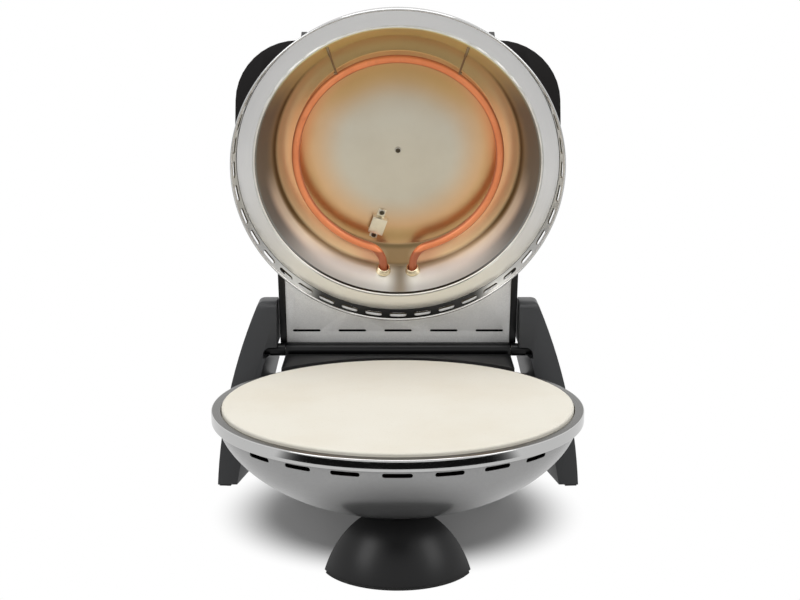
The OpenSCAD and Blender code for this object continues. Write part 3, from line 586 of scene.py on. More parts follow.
def brushed(name, colour, rough):
    """Satin metal with fine lines that run round the bowl's axis."""
    grain = 0.22
    f = Finish(name, colour, rough, 1.0)
    here = f.moved(BOWL_FRAME)
    fine = f.lines_round(here, 6.0, 0.7)
    broad = f.noise(11.0, 3.0, 0.5, place=here)
    f.set("Base Color", f.mix((fine * 0.6 + broad * 0.4).step(0.25, 0.75),
                              shade(1 - grain, colour), shade(1 + grain * 0.4, colour)))
    f.set("Roughness", rough - 0.05 + fine * 0.1)
    f.bump(fine, 0.4 * grain, 0.0002)
    return f.material


def flange_steel():
    """Smooth satin steel with painted light on it: a little brighter on the far side,
    and warmer and brighter on the hinge side as a painted reflection of the lit stone.
    """
    colour = (0.80, 0.795, 0.79)
    f = Finish("flange_steel", colour, 0.32, 1.0)
    here = f.moved(LID_FRAME)
    x, y, _ = f.split(here)
    hinge_side = y / radius(x, y)
    fine = f.lines_round(here, 5.0, 0.6)
    cloud = f.noise(9.0, 4.0, place=here)
    tone = f.mix((fine * 0.5 + cloud * 0.5).step(0.25, 0.75),
                 shade(0.96, colour), shade(1.03, colour))
    # Painted light: brighter on the far side
    tone = f.mix((hinge_side * -1).step(0.2, 0.8), tone, (0.98, 0.975, 0.965))
    # Painted reflection of the lit stone: warmer and brighter on the hinge side
    f.set("Base Color", f.mix(hinge_side.step(0.5, 0.97), tone, (0.99, 0.97, 0.90)))
    f.set("Roughness", 0.27 + fine * 0.08)
    f.bump(fine, 0.02, 0.0002)
    return f.material


# The pot's tones. Down is the hinge side, which is low in the open lid.
# Olive, used as painted shade in the pot's dark lines and at the floor's edge
SHADE_OLIVE = (0.17, 0.115, 0.045)


def floor_tone(f, r, up, lower_half, patch):
    """The flat floor: clear in the middle, then straw, and orange behind the tube, where heat tint
    has a painted glow from the tube on it, which turns to painted olive shade in the lower half.
    """
    clear, straw, orange = (0.64, 0.61, 0.535), (0.76, 0.46, 0.22), (0.80, 0.36, 0.16)
    uneven = r + (patch - 0.5) * 0.009
    tone = f.mix(uneven.step(0.05, 0.088) * (0.85 + up * 0.15), clear, straw)
    tone = f.mix(up * r.step(0.03, 0.09) * 0.6, tone, (0.52, 0.32, 0.10))
    # Heat tint and painted glow behind the tube, turning to painted olive shade in the lower half
    return f.mix(uneven.band(0.095, 0.014) * (0.9 - up * 0.5 - lower_half * 0.3), tone,
                 f.mix(lower_half, orange, (0.42, 0.29, 0.10)))


def cone_tone(f, x, r, up, down):
    """The short cone round the floor: rust at the sides and gold above. Below, painted olive shade
    at the floor's edge, then sand, with a painted salmon glow beside the tube's ends and brown
    in the middle.
    """
    rust, tan, gold = (0.86, 0.46, 0.22), (0.74, 0.54, 0.30), (0.82, 0.65, 0.32)
    sand, salmon, brown = (0.92, 0.67, 0.38), (0.84, 0.46, 0.27), (0.37, 0.24, 0.11)
    cone = f.mix(up, f.mix(r.step(0.105, 0.116), rust, tan), gold)
    # Painted shade: olive where the cone meets the floor on the hinge side
    low_cone = f.mix(r.step(0.104, 0.114), SHADE_OLIVE, sand)
    # Painted glow of the tube beside its ends
    low_cone = f.mix(abs(x).band(0.03, 0.022) * 0.6, low_cone, salmon)
    low_cone = f.mix(abs(x).step(0.008, 0.022), brown, low_cone)
    return f.mix(down, cone, low_cone)


def wall_tone(f, x, r, hinge_side, up, down):
    """The steep wall: painted dark at the sides as shade, with a bright streak as a painted
    reflection, pale gold above, and silver below, painted darker near the flange as shade, with a
    darker brown streak in the middle.
    """
    cream, silver, pale_gold = (0.90, 0.80, 0.64), (0.84, 0.85, 0.84), (0.97, 0.93, 0.54)
    # Painted shade: dull dark greys at the sides
    wall = f.mix(r.step(0.122, 0.129), (0.40, 0.34, 0.24), (0.27, 0.27, 0.242))
    wall = f.mix(up, wall, pale_gold)
    # Painted reflection: a bright streak between dark bands on the lower sides
    streak = f.mix(r.step(0.1222, 0.125), (0.42, 0.33, 0.20), (0.82, 0.78, 0.68))
    streak = f.mix(r.step(0.127, 0.132), streak, (0.23, 0.24, 0.235))
    wall = f.mix(hinge_side.step(0.05, 0.4), wall, streak)
    low_wall = f.mix(r.step(0.120, 0.129), cream, silver)
    # Painted shade on the lower wall near the flange
    low_wall = f.mix(r.step(0.129, 0.136) * 0.75, low_wall, (0.40, 0.395, 0.39))
    low_wall = f.mix(x.band(0.002, 0.016) * 0.9, low_wall, (0.24, 0.20, 0.15))
    return f.mix(down, wall, low_wall)


def pot_steel():
    """Steel, tinted by the tube's heat, with a painted glow and painted reflections and shade:
    painted shade lines at the floor's edge and the shoulder, and a painted shadow in the gap
    under the flange on the hinge side.
    """
    f = Finish("pot_steel", (0.6, 0.56, 0.5), 0.24, 1.0)
    here = f.moved(LID_FRAME)
    x, y, _ = f.split(here)
    r = radius(x, y)
    hinge_side = y / r
    down = hinge_side.step(0.45, 0.92)
    lower_half = hinge_side.step(-0.15, 0.5)
    up = (hinge_side * -1).step(0.35, 0.9)
    on_cone = r.step(0.1015, 0.1045)
    on_wall = r.step(0.1195, 0.1225)
    on_lip = r.step(0.1364, 0.1367)
    patch = f.noise(13.0, 4.0, place=here)
    fine = f.noise(260.0, 4.0, place=here)
    tone = floor_tone(f, r, up, lower_half, patch)
    tone = f.mix(on_cone, tone, cone_tone(f, x, r, up, down))
    # Painted shade: a dark line at the floor's edge in the lower half
    tone = f.mix(r.band(0.1045, 0.004) * lower_half * 0.8, tone, SHADE_OLIVE)
    tone = f.mix(on_wall, tone, wall_tone(f, x, r, hinge_side, up, down))
    # Painted shade: a dark line along the shoulder, fainter below and gone above
    tone = f.mix(r.band(0.1212, 0.0035) * (0.85 - down * 0.35 - up * 0.8), tone,
                 shade(0.6, SHADE_OLIVE))
    # Painted shadow in the gap between the flange and the pot, on the hinge side
    tone = f.mix(on_lip * down, tone, (0.02, 0.018, 0.015))
    f.set("Base Color", f.mix(patch.step(0.35, 0.75) * 0.14, tone, (0.34, 0.27, 0.19)))
    f.set("Roughness", 0.25 + fine * 0.03 + patch * 0.06 + r.step(0.106, 0.119) * 0.18)
    f.bump(patch, 0.05, 0.0004)
    return f.material


def tube_sheath():
    """Heating tube with a painted salmon-orange glow, painted darker along its sides as shade, and
    duller in patches.
    """
    f = Finish("tube_sheath", (0.74, 0.30, 0.17), 0.36, 0.3, Emission_Strength=0.12)
    x, y, _ = f.split(f.moved(LID_FRAME))
    # Painted shade along the tube's inner and outer sides
    side = abs(radius(x, y) - LOOP_R * MM).step(0.0019, 0.0041)
    patch = f.noise(22.0, 3.0)
    speck = f.noise(160.0, 3.0)
    tone = f.mix(patch.step(0.3, 0.72), (0.90, 0.31, 0.13), (0.77, 0.23, 0.09))
    tone = f.mix(side * 0.75, tone, (0.33, 0.09, 0.045))
    f.set("Base Color", f.mix(speck.step(0.5, 0.8) * 0.2, tone, (0.45, 0.16, 0.09)))
    # Painted glow, dimmer along the sides
    f.set("Emission Color", f.mix(side * 0.8, (1.0, 0.27, 0.07), (0.25, 0.06, 0.03)))
    f.set("Roughness", 0.32 + speck * 0.1)
    f.bump(patch, 0.04, 0.0004)
    return f.material


def stoneware():
    """Cream baking stone: fine grains, small pits and a faint toasted cast."""
    f = Finish("stoneware", (0.80, 0.765, 0.66), 0.72)
    cloud = f.noise(9.0, 5.0)
    speck = f.noise(520.0, 3.0, 0.7)
    grain = f.grains(900.0)
    tone = f.mix(cloud.step(0.35, 0.75) * 0.55, (0.83, 0.80, 0.71), (0.76, 0.70, 0.58))
    f.set("Base Color", f.mix(speck.step(0.6, 0.75) * 0.35, tone, (0.58, 0.50, 0.38)))
    f.set("Roughness", 0.62 + speck * 0.25)
    f.bump(speck * 0.7 + grain * 0.6, 0.22, 0.0004)
    return f.material


def moulding(name, colour, rough, texture, strength, shine=0.5):
    """Moulded plastic or satin coating with a fine leather-like grain."""
    f = Finish(name, colour, rough, Specular_IOR_Level=shine)
    grain = f.noise(texture, 3.0, 0.6)
    cell = f.grains(texture * 1.6)
    wear = f.noise(11.0, 5.0)
    f.set("Base Color", f.mix(wear.step(0.35, 0.8) * 0.6, shade(0.9, colour),
                              shade(1.18, colour)))
    f.set("Roughness", rough - 0.06 + grain * 0.1 + wear * 0.06)
    f.bump(grain * 0.6 + cell * 0.5, strength, 0.0003)
    return f.material


def dark_chrome():
    """The band's inner face: bright chrome, painted nearly black on the hinge side as shade."""
    f = Finish("dark_chrome", (0.1, 0.1, 0.1), 0.12, 1.0)
    here = f.moved(LID_FRAME)
    x, y, _ = f.split(here)
    wipe = f.noise(60.0, 4.0, place=here)
    # Painted shade: nearly black on the hinge side
    tone = f.mix((y / radius(x, y)).step(0.78, 0.88), (0.55, 0.55, 0.54), (0.018, 0.018, 0.018))
    f.set("Base Color", f.mix(wipe.step(0.4, 0.8) * 0.15, tone, (0.06, 0.06, 0.06)))
    f.set("Roughness", 0.1 + wipe * 0.08)
    f.bump(wipe, 0.03, 0.0004)
    return f.material


def plain_steel(name, colour, rough):
    """Small steel parts with fine scratches in all directions."""
    f = Finish(name, colour, rough, 1.0)
    scratch = f.noise(700.0, 4.0, 0.7, stretch=(1, 7, 1))
    stain = f.noise(60.0, 4.0)
    f.set("Base Color", f.mix(stain.step(0.4, 0.8) * 0.5, colour, shade(0.72, colour)))
    f.set("Roughness", rough - 0.06 + scratch * 0.16)
    f.bump(scratch, 0.08, 0.0002)
    return f.material


def rubber():
    """Dull black rubber with a little dust on it."""
    f = Finish("soft_rubber", (0.022, 0.022, 0.022), 0.8)
    dust = f.noise(120.0, 4.0)
    f.set("Base Color", f.mix(dust.step(0.45, 0.8), (0.018, 0.018, 0.018), (0.05, 0.048, 0.045)))
    f.bump(f.noise(1500.0, 2.0), 0.2, 0.0003)
    return f.material


def fired_clay():
    """Pale matt ceramic with fine specks."""
    f = Finish("fired_clay", (0.78, 0.75, 0.68), 0.6)
    speck = f.noise(700.0, 3.0)
    f.set("Base Color", f.mix(speck.step(0.5, 0.75) * 0.5, (0.8, 0.77, 0.7), (0.6, 0.56, 0.48)))
    f.bump(speck, 0.15, 0.0003)
    return f.material


def wool():
    """Pale fibres, pressed into a mat."""
    f = Finish("blanket_wool", (0.72, 0.68, 0.58), 0.95)
    fibre = f.noise(260.0, 6.0, 0.75, stretch=(1, 5, 2))
    f.set("Base Color", f.mix(fibre.step(0.35, 0.7), (0.62, 0.57, 0.46), (0.8, 0.77, 0.69)))
    f.bump(fibre, 0.6, 0.002)
    return f.material


def lamp_red():
    """Clear red plastic with upright ribs."""
    f = Finish("lamp_red", (0.55, 0.02, 0.012), 0.12, Coat_Weight=0.6)
    x, _, _ = f.split()
    ribs = (x * 2600.0).maths("SINE")
    f.set("Base Color", f.mix(ribs.step(-0.6, 0.9), (0.4, 0.01, 0.008), (0.62, 0.035, 0.02)))
    f.bump(ribs, 0.2, 0.0003)
    return f.material


SILVER = silver_paint("silver_paint", 0.35)
CHROME = chrome()
# The rim's brushed top, much darker than the chrome as painted shade
RIM_TOP = brushed("rim_top", (0.12, 0.118, 0.11), 0.28)
FLANGE = flange_steel()
# Brighter steel for the flange's rolled bead: a painted highlight
BEAD = plain_steel("rolled_bead", (0.90, 0.89, 0.85), 0.42)
BAND_INSIDE = dark_chrome()
POT = pot_steel()
SHEATH = tube_sheath()
STONE = stoneware()
FOOT_BLACK = moulding("foot_black", (0.0035, 0.0035, 0.004), 0.31, 900.0, 0.06, 0.3)
HANDLE_BLACK = moulding("handle_black", (0.008, 0.007, 0.007), 0.5, 700.0, 0.06, 0.12)
CHARCOAL = moulding("leg_charcoal", (0.034, 0.035, 0.037), 0.42, 800.0, 0.08, 0.42)
COVER_GREY = moulding("leg_cover_grey", (0.022, 0.022, 0.024), 0.5, 500.0, 0.2, 0.3)
PANEL_GREY = silver_paint("panel_paint", 0.93, 0.08)
STEEL = plain_steel("screw_steel", (0.50, 0.50, 0.49), 0.28)
CLIP = plain_steel("clip_steel", (0.58, 0.55, 0.49), 0.3)
WIRE = plain_steel("support_wire", (0.34, 0.25, 0.15), 0.4)
TAB_GOLD = plain_steel("probe_tab_steel", (0.84, 0.77, 0.62), 0.3)
EYELET = plain_steel("eyelet_steel", (0.84, 0.72, 0.50), 0.22)
# Dark steel for the pot's screws, also painted on the walls of the band's slots as shade
DARK_STEEL_AND_SLOT_SHADE = plain_steel("dark_screw_steel", (0.10, 0.085, 0.06), 0.3)
TAB_GREY = moulding("handle_tab_grey", (0.03, 0.029, 0.028), 0.4, 600.0, 0.1, 0.3)
BRASS = plain_steel("bush_brass", (0.62, 0.46, 0.2), 0.3)
PAN = brushed("pan_steel", (0.58, 0.56, 0.52), 0.3)
RUBBER = rubber()
CLAY = fired_clay()
WOOL = wool()
LAMP = lamp_red()
THERMOSTAT = moulding("thermostat_body", (0.55, 0.5, 0.38), 0.5, 400.0, 0.15)
MARK_WHITE = moulding("mark_white", (0.7, 0.7, 0.68), 0.5, 500.0, 0.05)


def finished(piece, body, material, node, place=IN_FRAME):
    """Gives a piece its place in the frame, its finish and its body, and hides the CAD node that
    it stands for.
    """
    to_metres(piece, place)
    piece.data.materials.clear()
    piece.data.materials.append(material)
    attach(piece, body)
    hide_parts(node)


def refinished(piece, material, chosen, home):
    """Gives another finish to some faces of a finished piece. They are chosen by their centre,
    in millimetres, and the way that they face, both as read in the bowl's or the lid's frame."""
    piece.data.materials.append(material)
    index = len(piece.data.materials) - 1
    inwards = home.inverted()
    for face in piece.data.polygons:
        if chosen(inwards @ face.center / MM, inwards.to_3x3() @ face.normal):
            face.material_index = index


def turned_out(spot, way):
    """How far a face turns from the Z axis: 1 outwards, 0 along it and -1 inwards."""
    return (spot.x * way.x + spot.y * way.y) / math.hypot(spot.x, spot.y)


# The bowl, with its two rows of slots
outer, inner = shell_curves(BOWL_R, BOWL_DEPTH, BOWL_EDGE_Z, -1)
lip = [(BOWL_R, BOWL_LIP_Z), (BOWL_LIP_R, BOWL_LIP_Z), (BOWL_LIP_R, BOWL_LIP_Z + SHELL_T),
       (BOWL_R - SHELL_T, BOWL_LIP_Z + SHELL_T)]
bowl = turned("bowl", outer + rounded(lip, [0.6, 0, 0, 0.6], 3, closed=False) + inner[::-1])
cut(bowl, slot_tool(BOWL_SLOT_L, BOWL_SLOT_H, BOWL_R, BOWL_SLOT_Z, 5,
                    [side + i * BOWL_SLOT_PITCH for side in (0, 180) for i in range(-3, 4)]))
tidied(bowl, 30)
finished(bowl, "base", SILVER, "bowl_shell")

# The chromed rim ring: brushed on top, polished on its side, with its lower edge rolled in. Its
# top is a much darker steel than its side, as painted shade.
ring = turned("rim_ring", rounded(
    [(RING_IN_R, RIM_Z - 1), (RING_IN_R, RIM_Z), (RIM_R, RIM_Z), (RIM_R, RING_LOW_Z),
     (BOWL_R + FIT, RING_LOW_Z), (BOWL_R + FIT, RING_LOW_Z + 1), (RIM_R - 1, RING_LOW_Z + 1),
     (RIM_R - 1, RIM_Z - 1)], [0, 0.45, 1.0, 1.5, 0.3, 0.3, 0.5, 0.3], 6), 256, 50)
finished(ring, "base", CHROME, "rim_ring")
refinished(ring, RIM_TOP, lambda spot, way: way.z > 0.97 and spot.z > RIM_Z - 0.6, BOWL_FRAME)

# The baking stone
stone = turned("baking_stone", [(0, STONE_LOW), (STONE_R - 1.2, STONE_LOW),
                                (STONE_R, STONE_LOW + 1.2)]
               + arc(STONE_R - 2, STONE_TOP - 2, 2, 0, 90, 8) + [(0, STONE_TOP)])
finished(stone, "stone", STONE, "baking_stone")


# The front foot: a tall ball, cut flat behind, with a saddle there that holds the bowl
def foot_ball(r, start):
    """The half profile of the ball, from a start in degrees up to its top."""
    return [(x, FOOT_STRETCH * z) for x, z in arc(0, 0, r, start, 90, 60)]


foot_start = math.degrees(math.asin((PAD_T + FOOT_DROP) / FOOT_STRETCH / FOOT_BALL_R))
foot = turned("front_foot", [(0, PAD_T + FOOT_DROP)] + foot_ball(FOOT_BALL_R, foot_start), 160)
placed(foot, at(0, -FOOT_Y, -FOOT_DROP))
edit(foot)
ops.mesh.bisect(plane_co=(0, -FOOT_BACK, 0), plane_no=(0, 1, 0), clear_outer=True, use_fill=True)
deselect()
saddle = block("saddle", oblong(-26, 26, -FOOT_BACK - 6, -FOOT_BACK + 34), 28, 70)
keep = turned("keep", [(0, 0)] + foot_ball(FOOT_BALL_R - FIT, 0), 120)
placed(keep, at(0, -FOOT_Y, -FOOT_DROP))
cut(saddle, keep, "INTERSECT")
cut(foot, saddle, "UNION")
room = turned("room", [(r, BOWL_EDGE_Z - h) for r, h in bowl_curve(BOWL_R + FIT, BOWL_DEPTH + FIT)]
              + [(BOWL_R + FIT, 160), (0, 160)], 160)
cut(foot, room)
tidied(foot)
softened(foot, 0.9, 3, 40)
finished(foot, "base", FOOT_BLACK, "front_foot")

# Legs, covers, housings and the handle keep the CAD's form and get round edges
for node, name, body, slot, material, width in (
        ("left_leg", "leg_left", "base", "leg_charcoal", CHARCOAL, 1.4),
        ("right_leg", "leg_right", "base", "leg_charcoal", CHARCOAL, 1.4),
        ("left_leg_cover", "leg_cover_left", "base", "leg_cover", COVER_GREY, 0.5),
        ("right_leg_cover", "leg_cover_right", "base", "leg_cover", COVER_GREY, 0.5),
        ("rear_housing", "rear_shroud", "base", "foot_black", FOOT_BLACK, 1.0),
        ("housing_cover", "rear_cover", "base", "foot_black", COVER_GREY, 0.5),
        ("handle", "lid_handle", "lid", "foot_black", HANDLE_BLACK, 2.6),
        ("handle_brackets", "handle_tabs", "lid", "clip_steel", TAB_GREY, 0.5),
        ("probe_bracket", "probe_tab", "lid", "clip_steel", TAB_GOLD, 0.3),
        ("front_foot_pad", "foot_pad", "base", "pad_rubber", RUBBER, 0.6),
        ("rear_foot_pads", "leg_pads", "base", "pad_rubber", RUBBER, 0.6),
        ("neck_housing", "neck", "lid", "foot_black", FOOT_BLACK, 0.8),
        ("neck_cover", "neck_lid", "lid", "foot_black", COVER_GREY, 0.5),
        ("neck_panel", "neck_face", "lid", "panel_paint", PANEL_GREY, 0.2),
        ("hinge_bosses", "hinge_bars", "base", "foot_black", FOOT_BLACK, 0.8)):
    finished(from_cad(node, name, width), body, material, node)

# The lid's lip, and the slotted band that narrows towards the dome
bead = arc(LID_R - BEAD_R, BEAD_R, BEAD_R, 150, 390, 12)
band = turned("lid_band", bead + [(BAND_R, LIP_H), (BAND_R, BAND_H), (BAND_R - 1, BAND_H),
                                  (BAND_R - 1, LIP_H)], 256, 40)
cut(band, slot_tool(BAND_SLOT_L, BAND_SLOT_H, LID_R, BAND_SLOT_W, 8,
                    [i * 360 / BAND_SLOTS for i in range(BAND_SLOTS)]))
tidied(band, 30)
softened(band, 0.3, 2, 50)
finished(band, "lid", CHROME, "lid_rim_band", IN_LID)
# The band's inner face, painted nearly black on the hinge side as shade
refinished(band, BAND_INSIDE, lambda spot, way:
           1.6 < spot.z < 16 and turned_out(spot, way) < -0.9, LID_FRAME)
# The walls of the band's slots, painted dark steel as the shade inside them
refinished(band, DARK_STEEL_AND_SLOT_SHADE, lambda spot, way:
           4 < spot.z < 11 and abs(turned_out(spot, way)) < 0.45, LID_FRAME)

# Flange between the band and the pot, with a rolled bead at its inner edge that has a brighter
# steel as a painted highlight
flange = turned("lid_flange", [(DOME_R, LIP_H), (DOME_R, SEAT_W), (SKIRT_R, SEAT_W),
                               (SKIRT_R, LIP_H + 4), (SKIRT_R - 1, LIP_H + 4),
                               (SKIRT_R - 1, SEAT_W), (FLANGE_IN_R + 1.2, SEAT_W)]
                + arc(FLANGE_IN_R + FLANGE_BEAD_R, LIP_H - 0.1, FLANGE_BEAD_R, 90, 320, 12)
                + [(FLANGE_IN_R + 2.6, LIP_H)], 256, 40)
finished(flange, "lid", FLANGE, "lid_flange_ring", IN_LID)
refinished(flange, BEAD, lambda spot, way:
           math.hypot(spot.x, spot.y) < FLANGE_IN_R + 2.5, LID_FRAME)

# The pot: a steep wall, a shoulder, a short cone and a flat floor
corners = [0, 1.5, 5.0, 2.2, 0]
front = rounded([(FLANGE_IN_R + 10, SEAT_W), (POT_R, SEAT_W), (SHOULDER_R, SHOULDER_W),
                 (POT_FLOOR_R, POT_FLOOR_W), (0, POT_FLOOR_W)], corners, 8, closed=False)
back = rounded([(FLANGE_IN_R + 10, SEAT_W + PAN_T), (POT_R + PAN_T, SEAT_W + PAN_T),
                (SHOULDER_R + 0.7, SHOULDER_W + 0.3), (POT_FLOOR_R + 0.3, POT_FLOOR_W + PAN_T),
                (0, POT_FLOOR_W + PAN_T)], corners, 8, closed=False)
pot = turned("lid_pot", front + back[::-1], 256, 40)
for side in (-1, 1):
    hole = rod("hole", TUBE_D / 2 + 0.6, -30, 30)
    placed(hole, at(side * TERMINAL_X, 125, TUBE_W) @ spin_x(90))
    cut(pot, hole)
tidied(pot, 25)
finished(pot, "lid", POT, "upper_reflector", IN_LID)

# The heating tube in the lid, its two ends turned out through the wall
end_turn = math.degrees(math.asin((TERMINAL_X + TUBE_BEND_R) / (LOOP_R + TUBE_BEND_R)))
end_y = (LOOP_R + TUBE_BEND_R) * math.cos(math.radians(end_turn))
half = (arc(0, 0, LOOP_R, -90, 90 - end_turn, 60)
        + arc(TERMINAL_X + TUBE_BEND_R, end_y, TUBE_BEND_R, 270 - end_turn, 180, 14)[1:]
        + [(TERMINAL_X, end_y + 4), (TERMINAL_X, end_y + 10)])
line = [(-x, y, TUBE_W) for x, y in half[:0:-1]] + [(x, y, TUBE_W) for x, y in half]
element = tube("heating_tube", line, TUBE_D, 7)
finished(element, "lid", SHEATH, "upper_element", IN_LID)

# Eyelets round the tube's ends, square on the pot's wall
eyelet = turned("tube_eyelets", [(4.6, 0), (7.5, 0), (7.5, 0.8), (7.1, 1.5), (6.7, 1.9),
                                 (6.5, 2.6), (6.4, 5.4), (6.0, 6.2), (5.3, 6.4), (4.8, 6.0)], 48)
placed(eyelet, at(TERMINAL_X, EYELET_Y, TUBE_W)
       @ spin_z(-math.degrees(math.asin(TERMINAL_X / EYELET_Y))) @ spin_x(90 + EYELET_SLOPE)
       @ at(0, 0, 0.4))
bore = rod("bore", TUBE_D / 2 + 0.35, -20, 20)
placed(bore, at(TERMINAL_X, EYELET_Y, TUBE_W) @ spin_x(90))
cut(eyelet, bore)
tidied(eyelet, 30)
finished(paired("tube_eyelets", eyelet), "lid", EYELET, "element_ferrules", IN_LID)

# Wires that hold the loop from behind and run out to the wall, each with a sleeve at its end
wrap = [(x, 0, z) for x, z in arc(0, 0, WIRE_WRAP_R, -20, 145, 12)]
hook = tube("hook", wrap, WIRE_D, 4)
stem = turned("stem", [(0, 3.6), (1.0, 3.6), (1.0, 27), (1.45, 28), (1.45, 40.4), (1.1, 41),
                       (1.1, 42), (0, 42)], 20)
placed(stem, spin_z(-21) @ spin_y(116))
support = joined("tube_supports", [hook, stem])
placed(support, spin_z(-55) @ at(LOOP_R, 0, TUBE_W))
finished(paired("tube_supports", support), "lid", WIRE, "element_supports", IN_LID)

# Screws: one of each size is modelled and the others are its copies. Those in the pot have
# bright rims.
tab = at(-20.5, LOOP_R - 21, POT_FLOOR_W) @ spin_z(19) @ spin_x(180)
pot_places = [at(0, 0, POT_FLOOR_W) @ spin_x(180), tab @ at(0, -13, 1.1), tab @ at(0, 13, 1.1)]
pot_screws = spread("pot_screws", screw("pot_screws", 1.5, 3.2, 2.0, 9), pot_places)
finished(pot_screws, "lid", DARK_STEEL_AND_SLOT_SHADE, "reflector_screws", IN_LID)
refinished(pot_screws, CLIP, lambda spot, way:
           min(math.dist(spot.xy, p.translation.xy) for p in pot_places) > 2.3, LID_FRAME)
for name, size, places, body, node, home in (
        ("handle_bolts", (2.0, 4.0, 2.4, 20),
         [at(side * (DOME_R - 2.1), 2, 32) @ spin_y(side * 90) for side in (-1, 1)],
         "lid", "handle_screws", IN_LID),
        ("neck_bolts", (1.7, 3.4, 1.8, 14),
         [at(x, y, 40) for x in (-108, 108) for y in (DOME_R - 44, 181.3)],
         "lid", "neck_screws", IN_LID),
        ("cover_bolts", (1.7, 3.4, 1.6, 7),
         [at(x, REAR_Y, z) @ spin_x(-90) for x in (-99, 99) for z in (69, 104)],
         "base", "cover_screws", IN_FRAME)):
    bolts = spread(name, screw(name, *size), places)
    finished(bolts, body, STEEL, node, home)


# The controls on the rear cover: a fluted knob, a ribbed lamp and a cable gland
def on_rear(x):
    """A place on the rear cover, with +Z pointing out of it."""
    return at(x, REAR_Y, REAR_Z) @ spin_x(-90)


grip = rounded([(17, 0.3), (17, 2.5), (14.4, 3.6), (13.4, 12), (12.2, 13)],
               [0.6, 0.8, 0.8, 1.0, 1.0], 4, closed=False)
knob = turned("heat_knob", [(3.05, 0.3)] + grip + [(4, 12.7), (0, 12.7), (0, 9), (3.05, 9)], 96)
flute = placed(rod("flute", 1.2, 4.4, 15, 16), at(15, 0, 0))
cut(knob, spread("flutes", flute, [spin_z(i * 360 / KNOB_FLUTES) for i in range(KNOB_FLUTES)]))
cut(knob, block("pointer", oblong(-0.8, 0.8, 4.5, 11.8), POINTER_FLOOR, 15))
tidied(knob, 30)
softened(knob, 0.2, 2, 40)
placed(knob, on_rear(KNOB_X))
finished(knob, "knob", HANDLE_BLACK, "thermostat_knob")
refinished(knob, MARK_WHITE, lambda spot, way:
           abs(way.y) > 0.9 and abs(spot.y - REAR_Y - POINTER_FLOOR) < 0.2
           and abs(spot.x - KNOB_X) < 0.9, BOWL_FRAME)

lens = turned("pilot_lens", [(0, -8), (5, -8), (5, 0), (6.5, 0), (6.5, 0.7), (6.2, 1.0),
                             (5.2, 1.0), (5.0, 1.4), (4.4, 2.1), (3.4, 2.5), (0, 2.5)], 64)
placed(lens, on_rear(LAMP_X))
finished(lens, "base", LAMP, "pilot_lamp")

hexagon = arc(0, 0, 9, 0, 300, 5)
nut = softened(block("cable_gland", hexagon, 0, 4), 0.5, 2, 40)
sleeve = turned("sleeve", [(3.6, -9), (6, -9), (6, 3.9), (6.5, 4.2), (6.5, 6.4), (5.6, 6.8),
                           (5.6, 7.2), (6.3, 7.6), (6.1, 8.6), (5.4, 9), (3.6, 9)], 64)
gland = joined("cable_gland", [nut, sleeve, block("inner_nut", hexagon, -6, -2.6)])
placed(gland, on_rear(GLAND_X))
finished(gland, "base", HANDLE_BLACK, "cord_gland")

# The domed shell
outer, inner = shell_curves(DOME_R, DOME_H, DOME_EDGE_W, 1)
dome = turned("lid_dome", outer[::-1] + inner)
finished(dome, "lid", SILVER, "lid_shell", IN_LID)

# CAD nodes that stay get the finish of their slot
FOR_SLOT = {"silver_paint": SILVER, "chrome_trim": CHROME, "flange_steel": FLANGE,
            "reflector_steel": PAN, "heating_tube": SHEATH, "clip_steel": CLIP,
            "terminal_ceramic": CLAY, "baking_stone": STONE, "foot_black": FOOT_BLACK,
            "leg_charcoal": CHARCOAL, "leg_cover": COVER_GREY, "pad_rubber": RUBBER,
            "screw_steel": STEEL, "thermostat_body": THERMOSTAT, "lamp_red": LAMP,
            "blanket": WOOL, "panel_paint": PANEL_GREY, "bush_brass": BRASS}
for part in frame["record"]["subparts"]:
    node = cad[part["node"]]
    if not node.hide_render:
        for held in node.material_slots:
            held.material = FOR_SLOT[part["material_slot"]]


# Studio, in metres. The shadow shows on a round patch of the floor, which turns white from
# SHADOW_IN to SHADOW_OUT. Metal shows a narrower patch, and past it a floor that is less white.
SHADOW_Y = 0.055
SHADOW_IN = 0.112
SHADOW_OUT = 0.182
METAL_IN = 0.045
METAL_OUT = 0.13
METAL_WHITE = 0.66
# A card fades between these slopes off the middle line, as seen from the bowl's axis
CARD_IN = 0.85
CARD_OUT = 2.4
CAMERA_PLACE = (0.002, -1.33765, 0.487)
CAMERA_DOWN = 11.4
CAMERA_LENS = 67.95
CAMERA_SENSOR = 36


def studio_floor():
    """Pale floor that keeps the soft shadow and turns into the white background."""
    deselect()
    ops.mesh.primitive_plane_add(size=14)
    plane = named("studio_floor")
    f = Finish("studio_floor", (0.56, 0.56, 0.56), 0.9)
    x, y, _ = f.split()
    white_seen = radius(x, y - SHADOW_Y).step(SHADOW_IN, SHADOW_OUT)
    white_in_metal = radius(x, y * 0.35).step(METAL_IN, METAL_OUT) * METAL_WHITE
    white = f.add("ShaderNodeEmission", {}, {"Color": (1, 1, 1, 1), "Strength": 1.0})
    blend = f.add("ShaderNodeMixShader", {}, {
        0: f.by_camera() * white_seen + f.by_gloss() * white_in_metal,
        1: Value(f, f.shader.outputs[0]), 2: white})
    f.tree.links.new(blend.socket, f.tree.nodes["Material Output"].inputs[0])
    plane.data.materials.append(f.material)


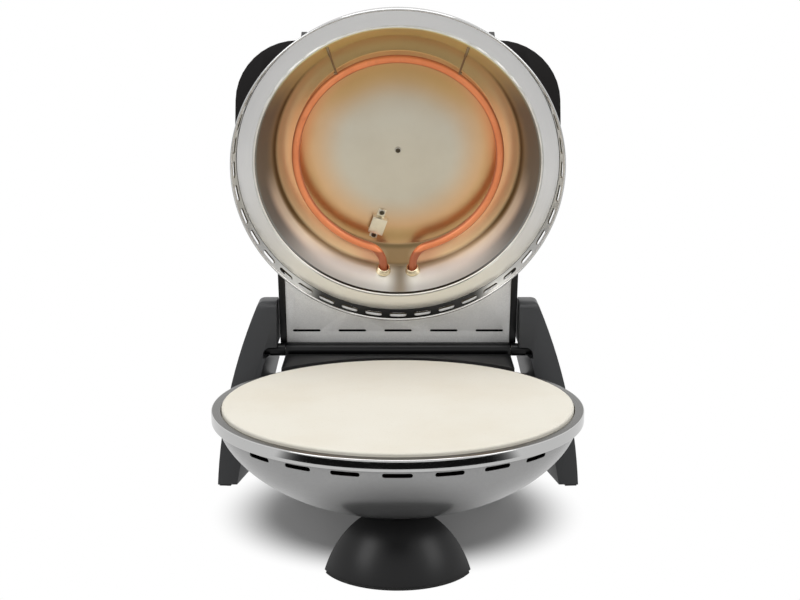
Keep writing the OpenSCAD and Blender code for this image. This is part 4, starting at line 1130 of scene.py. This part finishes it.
def daylight(level):
    """An even light from all sides, whose background shows white at any level."""
    world = bpy.data.worlds.new("studio")
    bpy.context.scene.world = world
    world.use_nodes = True
    sky = Nodes(world.node_tree)
    light = sky.tree.nodes["Background"]
    light.inputs["Color"].default_value = (1, 1, 1, 1)
    strength = sky.by_camera().either(sky.by_gloss()) * (1 - level) + level
    sky.tree.links.new(strength.socket, light.inputs["Strength"])


def softbox(name, place, target, wide, high, power):
    """A soft lamp at a place, turned to a target."""
    deselect()
    ops.object.light_add(type="AREA", location=place)
    lamp = bpy.context.object
    lamp.name = name
    lamp.data.shape = "RECTANGLE"
    lamp.data.size = wide
    lamp.data.size_y = high
    lamp.data.energy = power
    lamp.rotation_euler = (Vector(target) - Vector(place)).to_track_quat("-Z", "Y").to_euler()


def dark_card(card, place):
    """Makes a card black. It only shows in polished metal, and fades at its sides."""
    to_metres(card, place)
    f = Finish(card.name, (0.01, 0.01, 0.01), 0.9, Specular_IOR_Level=0.0)
    x, y, _ = f.split()
    f.set("Alpha", 1 - (abs(x) / (AXIS_Y * MM - y)).step(CARD_IN, CARD_OUT))
    card.data.materials.append(f.material)
    card.visible_camera = False
    card.visible_diffuse = False
    card.visible_shadow = False


studio_floor()
daylight(0.36)
# One card lies in a bow on the floor before the bowl, and the other hangs above the camera
bow = arc(0, 0, 480, -162, -18, 36) + arc(0, 0, 690, -18, -162, 36)
dark_card(block("floor_card", bow, 1, 3), IN_FRAME)
dark_card(block("high_card", oblong(-450, 450, -300, 300), -5, 5, upright=True),
          at(0, -1050, 1120) @ spin_x(-39))
softbox("overhead", (0, -0.15, 1.7), (0, 0.02, 0.1), 1.3, 1.1, 15)
softbox("left_box", (-1.5, -1.1, 1.15), (0, 0, 0.2), 0.8, 1.0, 8)
softbox("right_box", (1.6, -0.9, 1.1), (0, 0, 0.2), 0.8, 1.0, 7)

deselect()
ops.object.camera_add(location=CAMERA_PLACE, rotation=(math.radians(90 - CAMERA_DOWN), 0, 0))
camera = bpy.context.object
camera.data.lens = CAMERA_LENS
camera.data.sensor_width = CAMERA_SENSOR
bpy.context.scene.camera = camera
bpy.context.scene.view_settings.view_transform = "Standard"
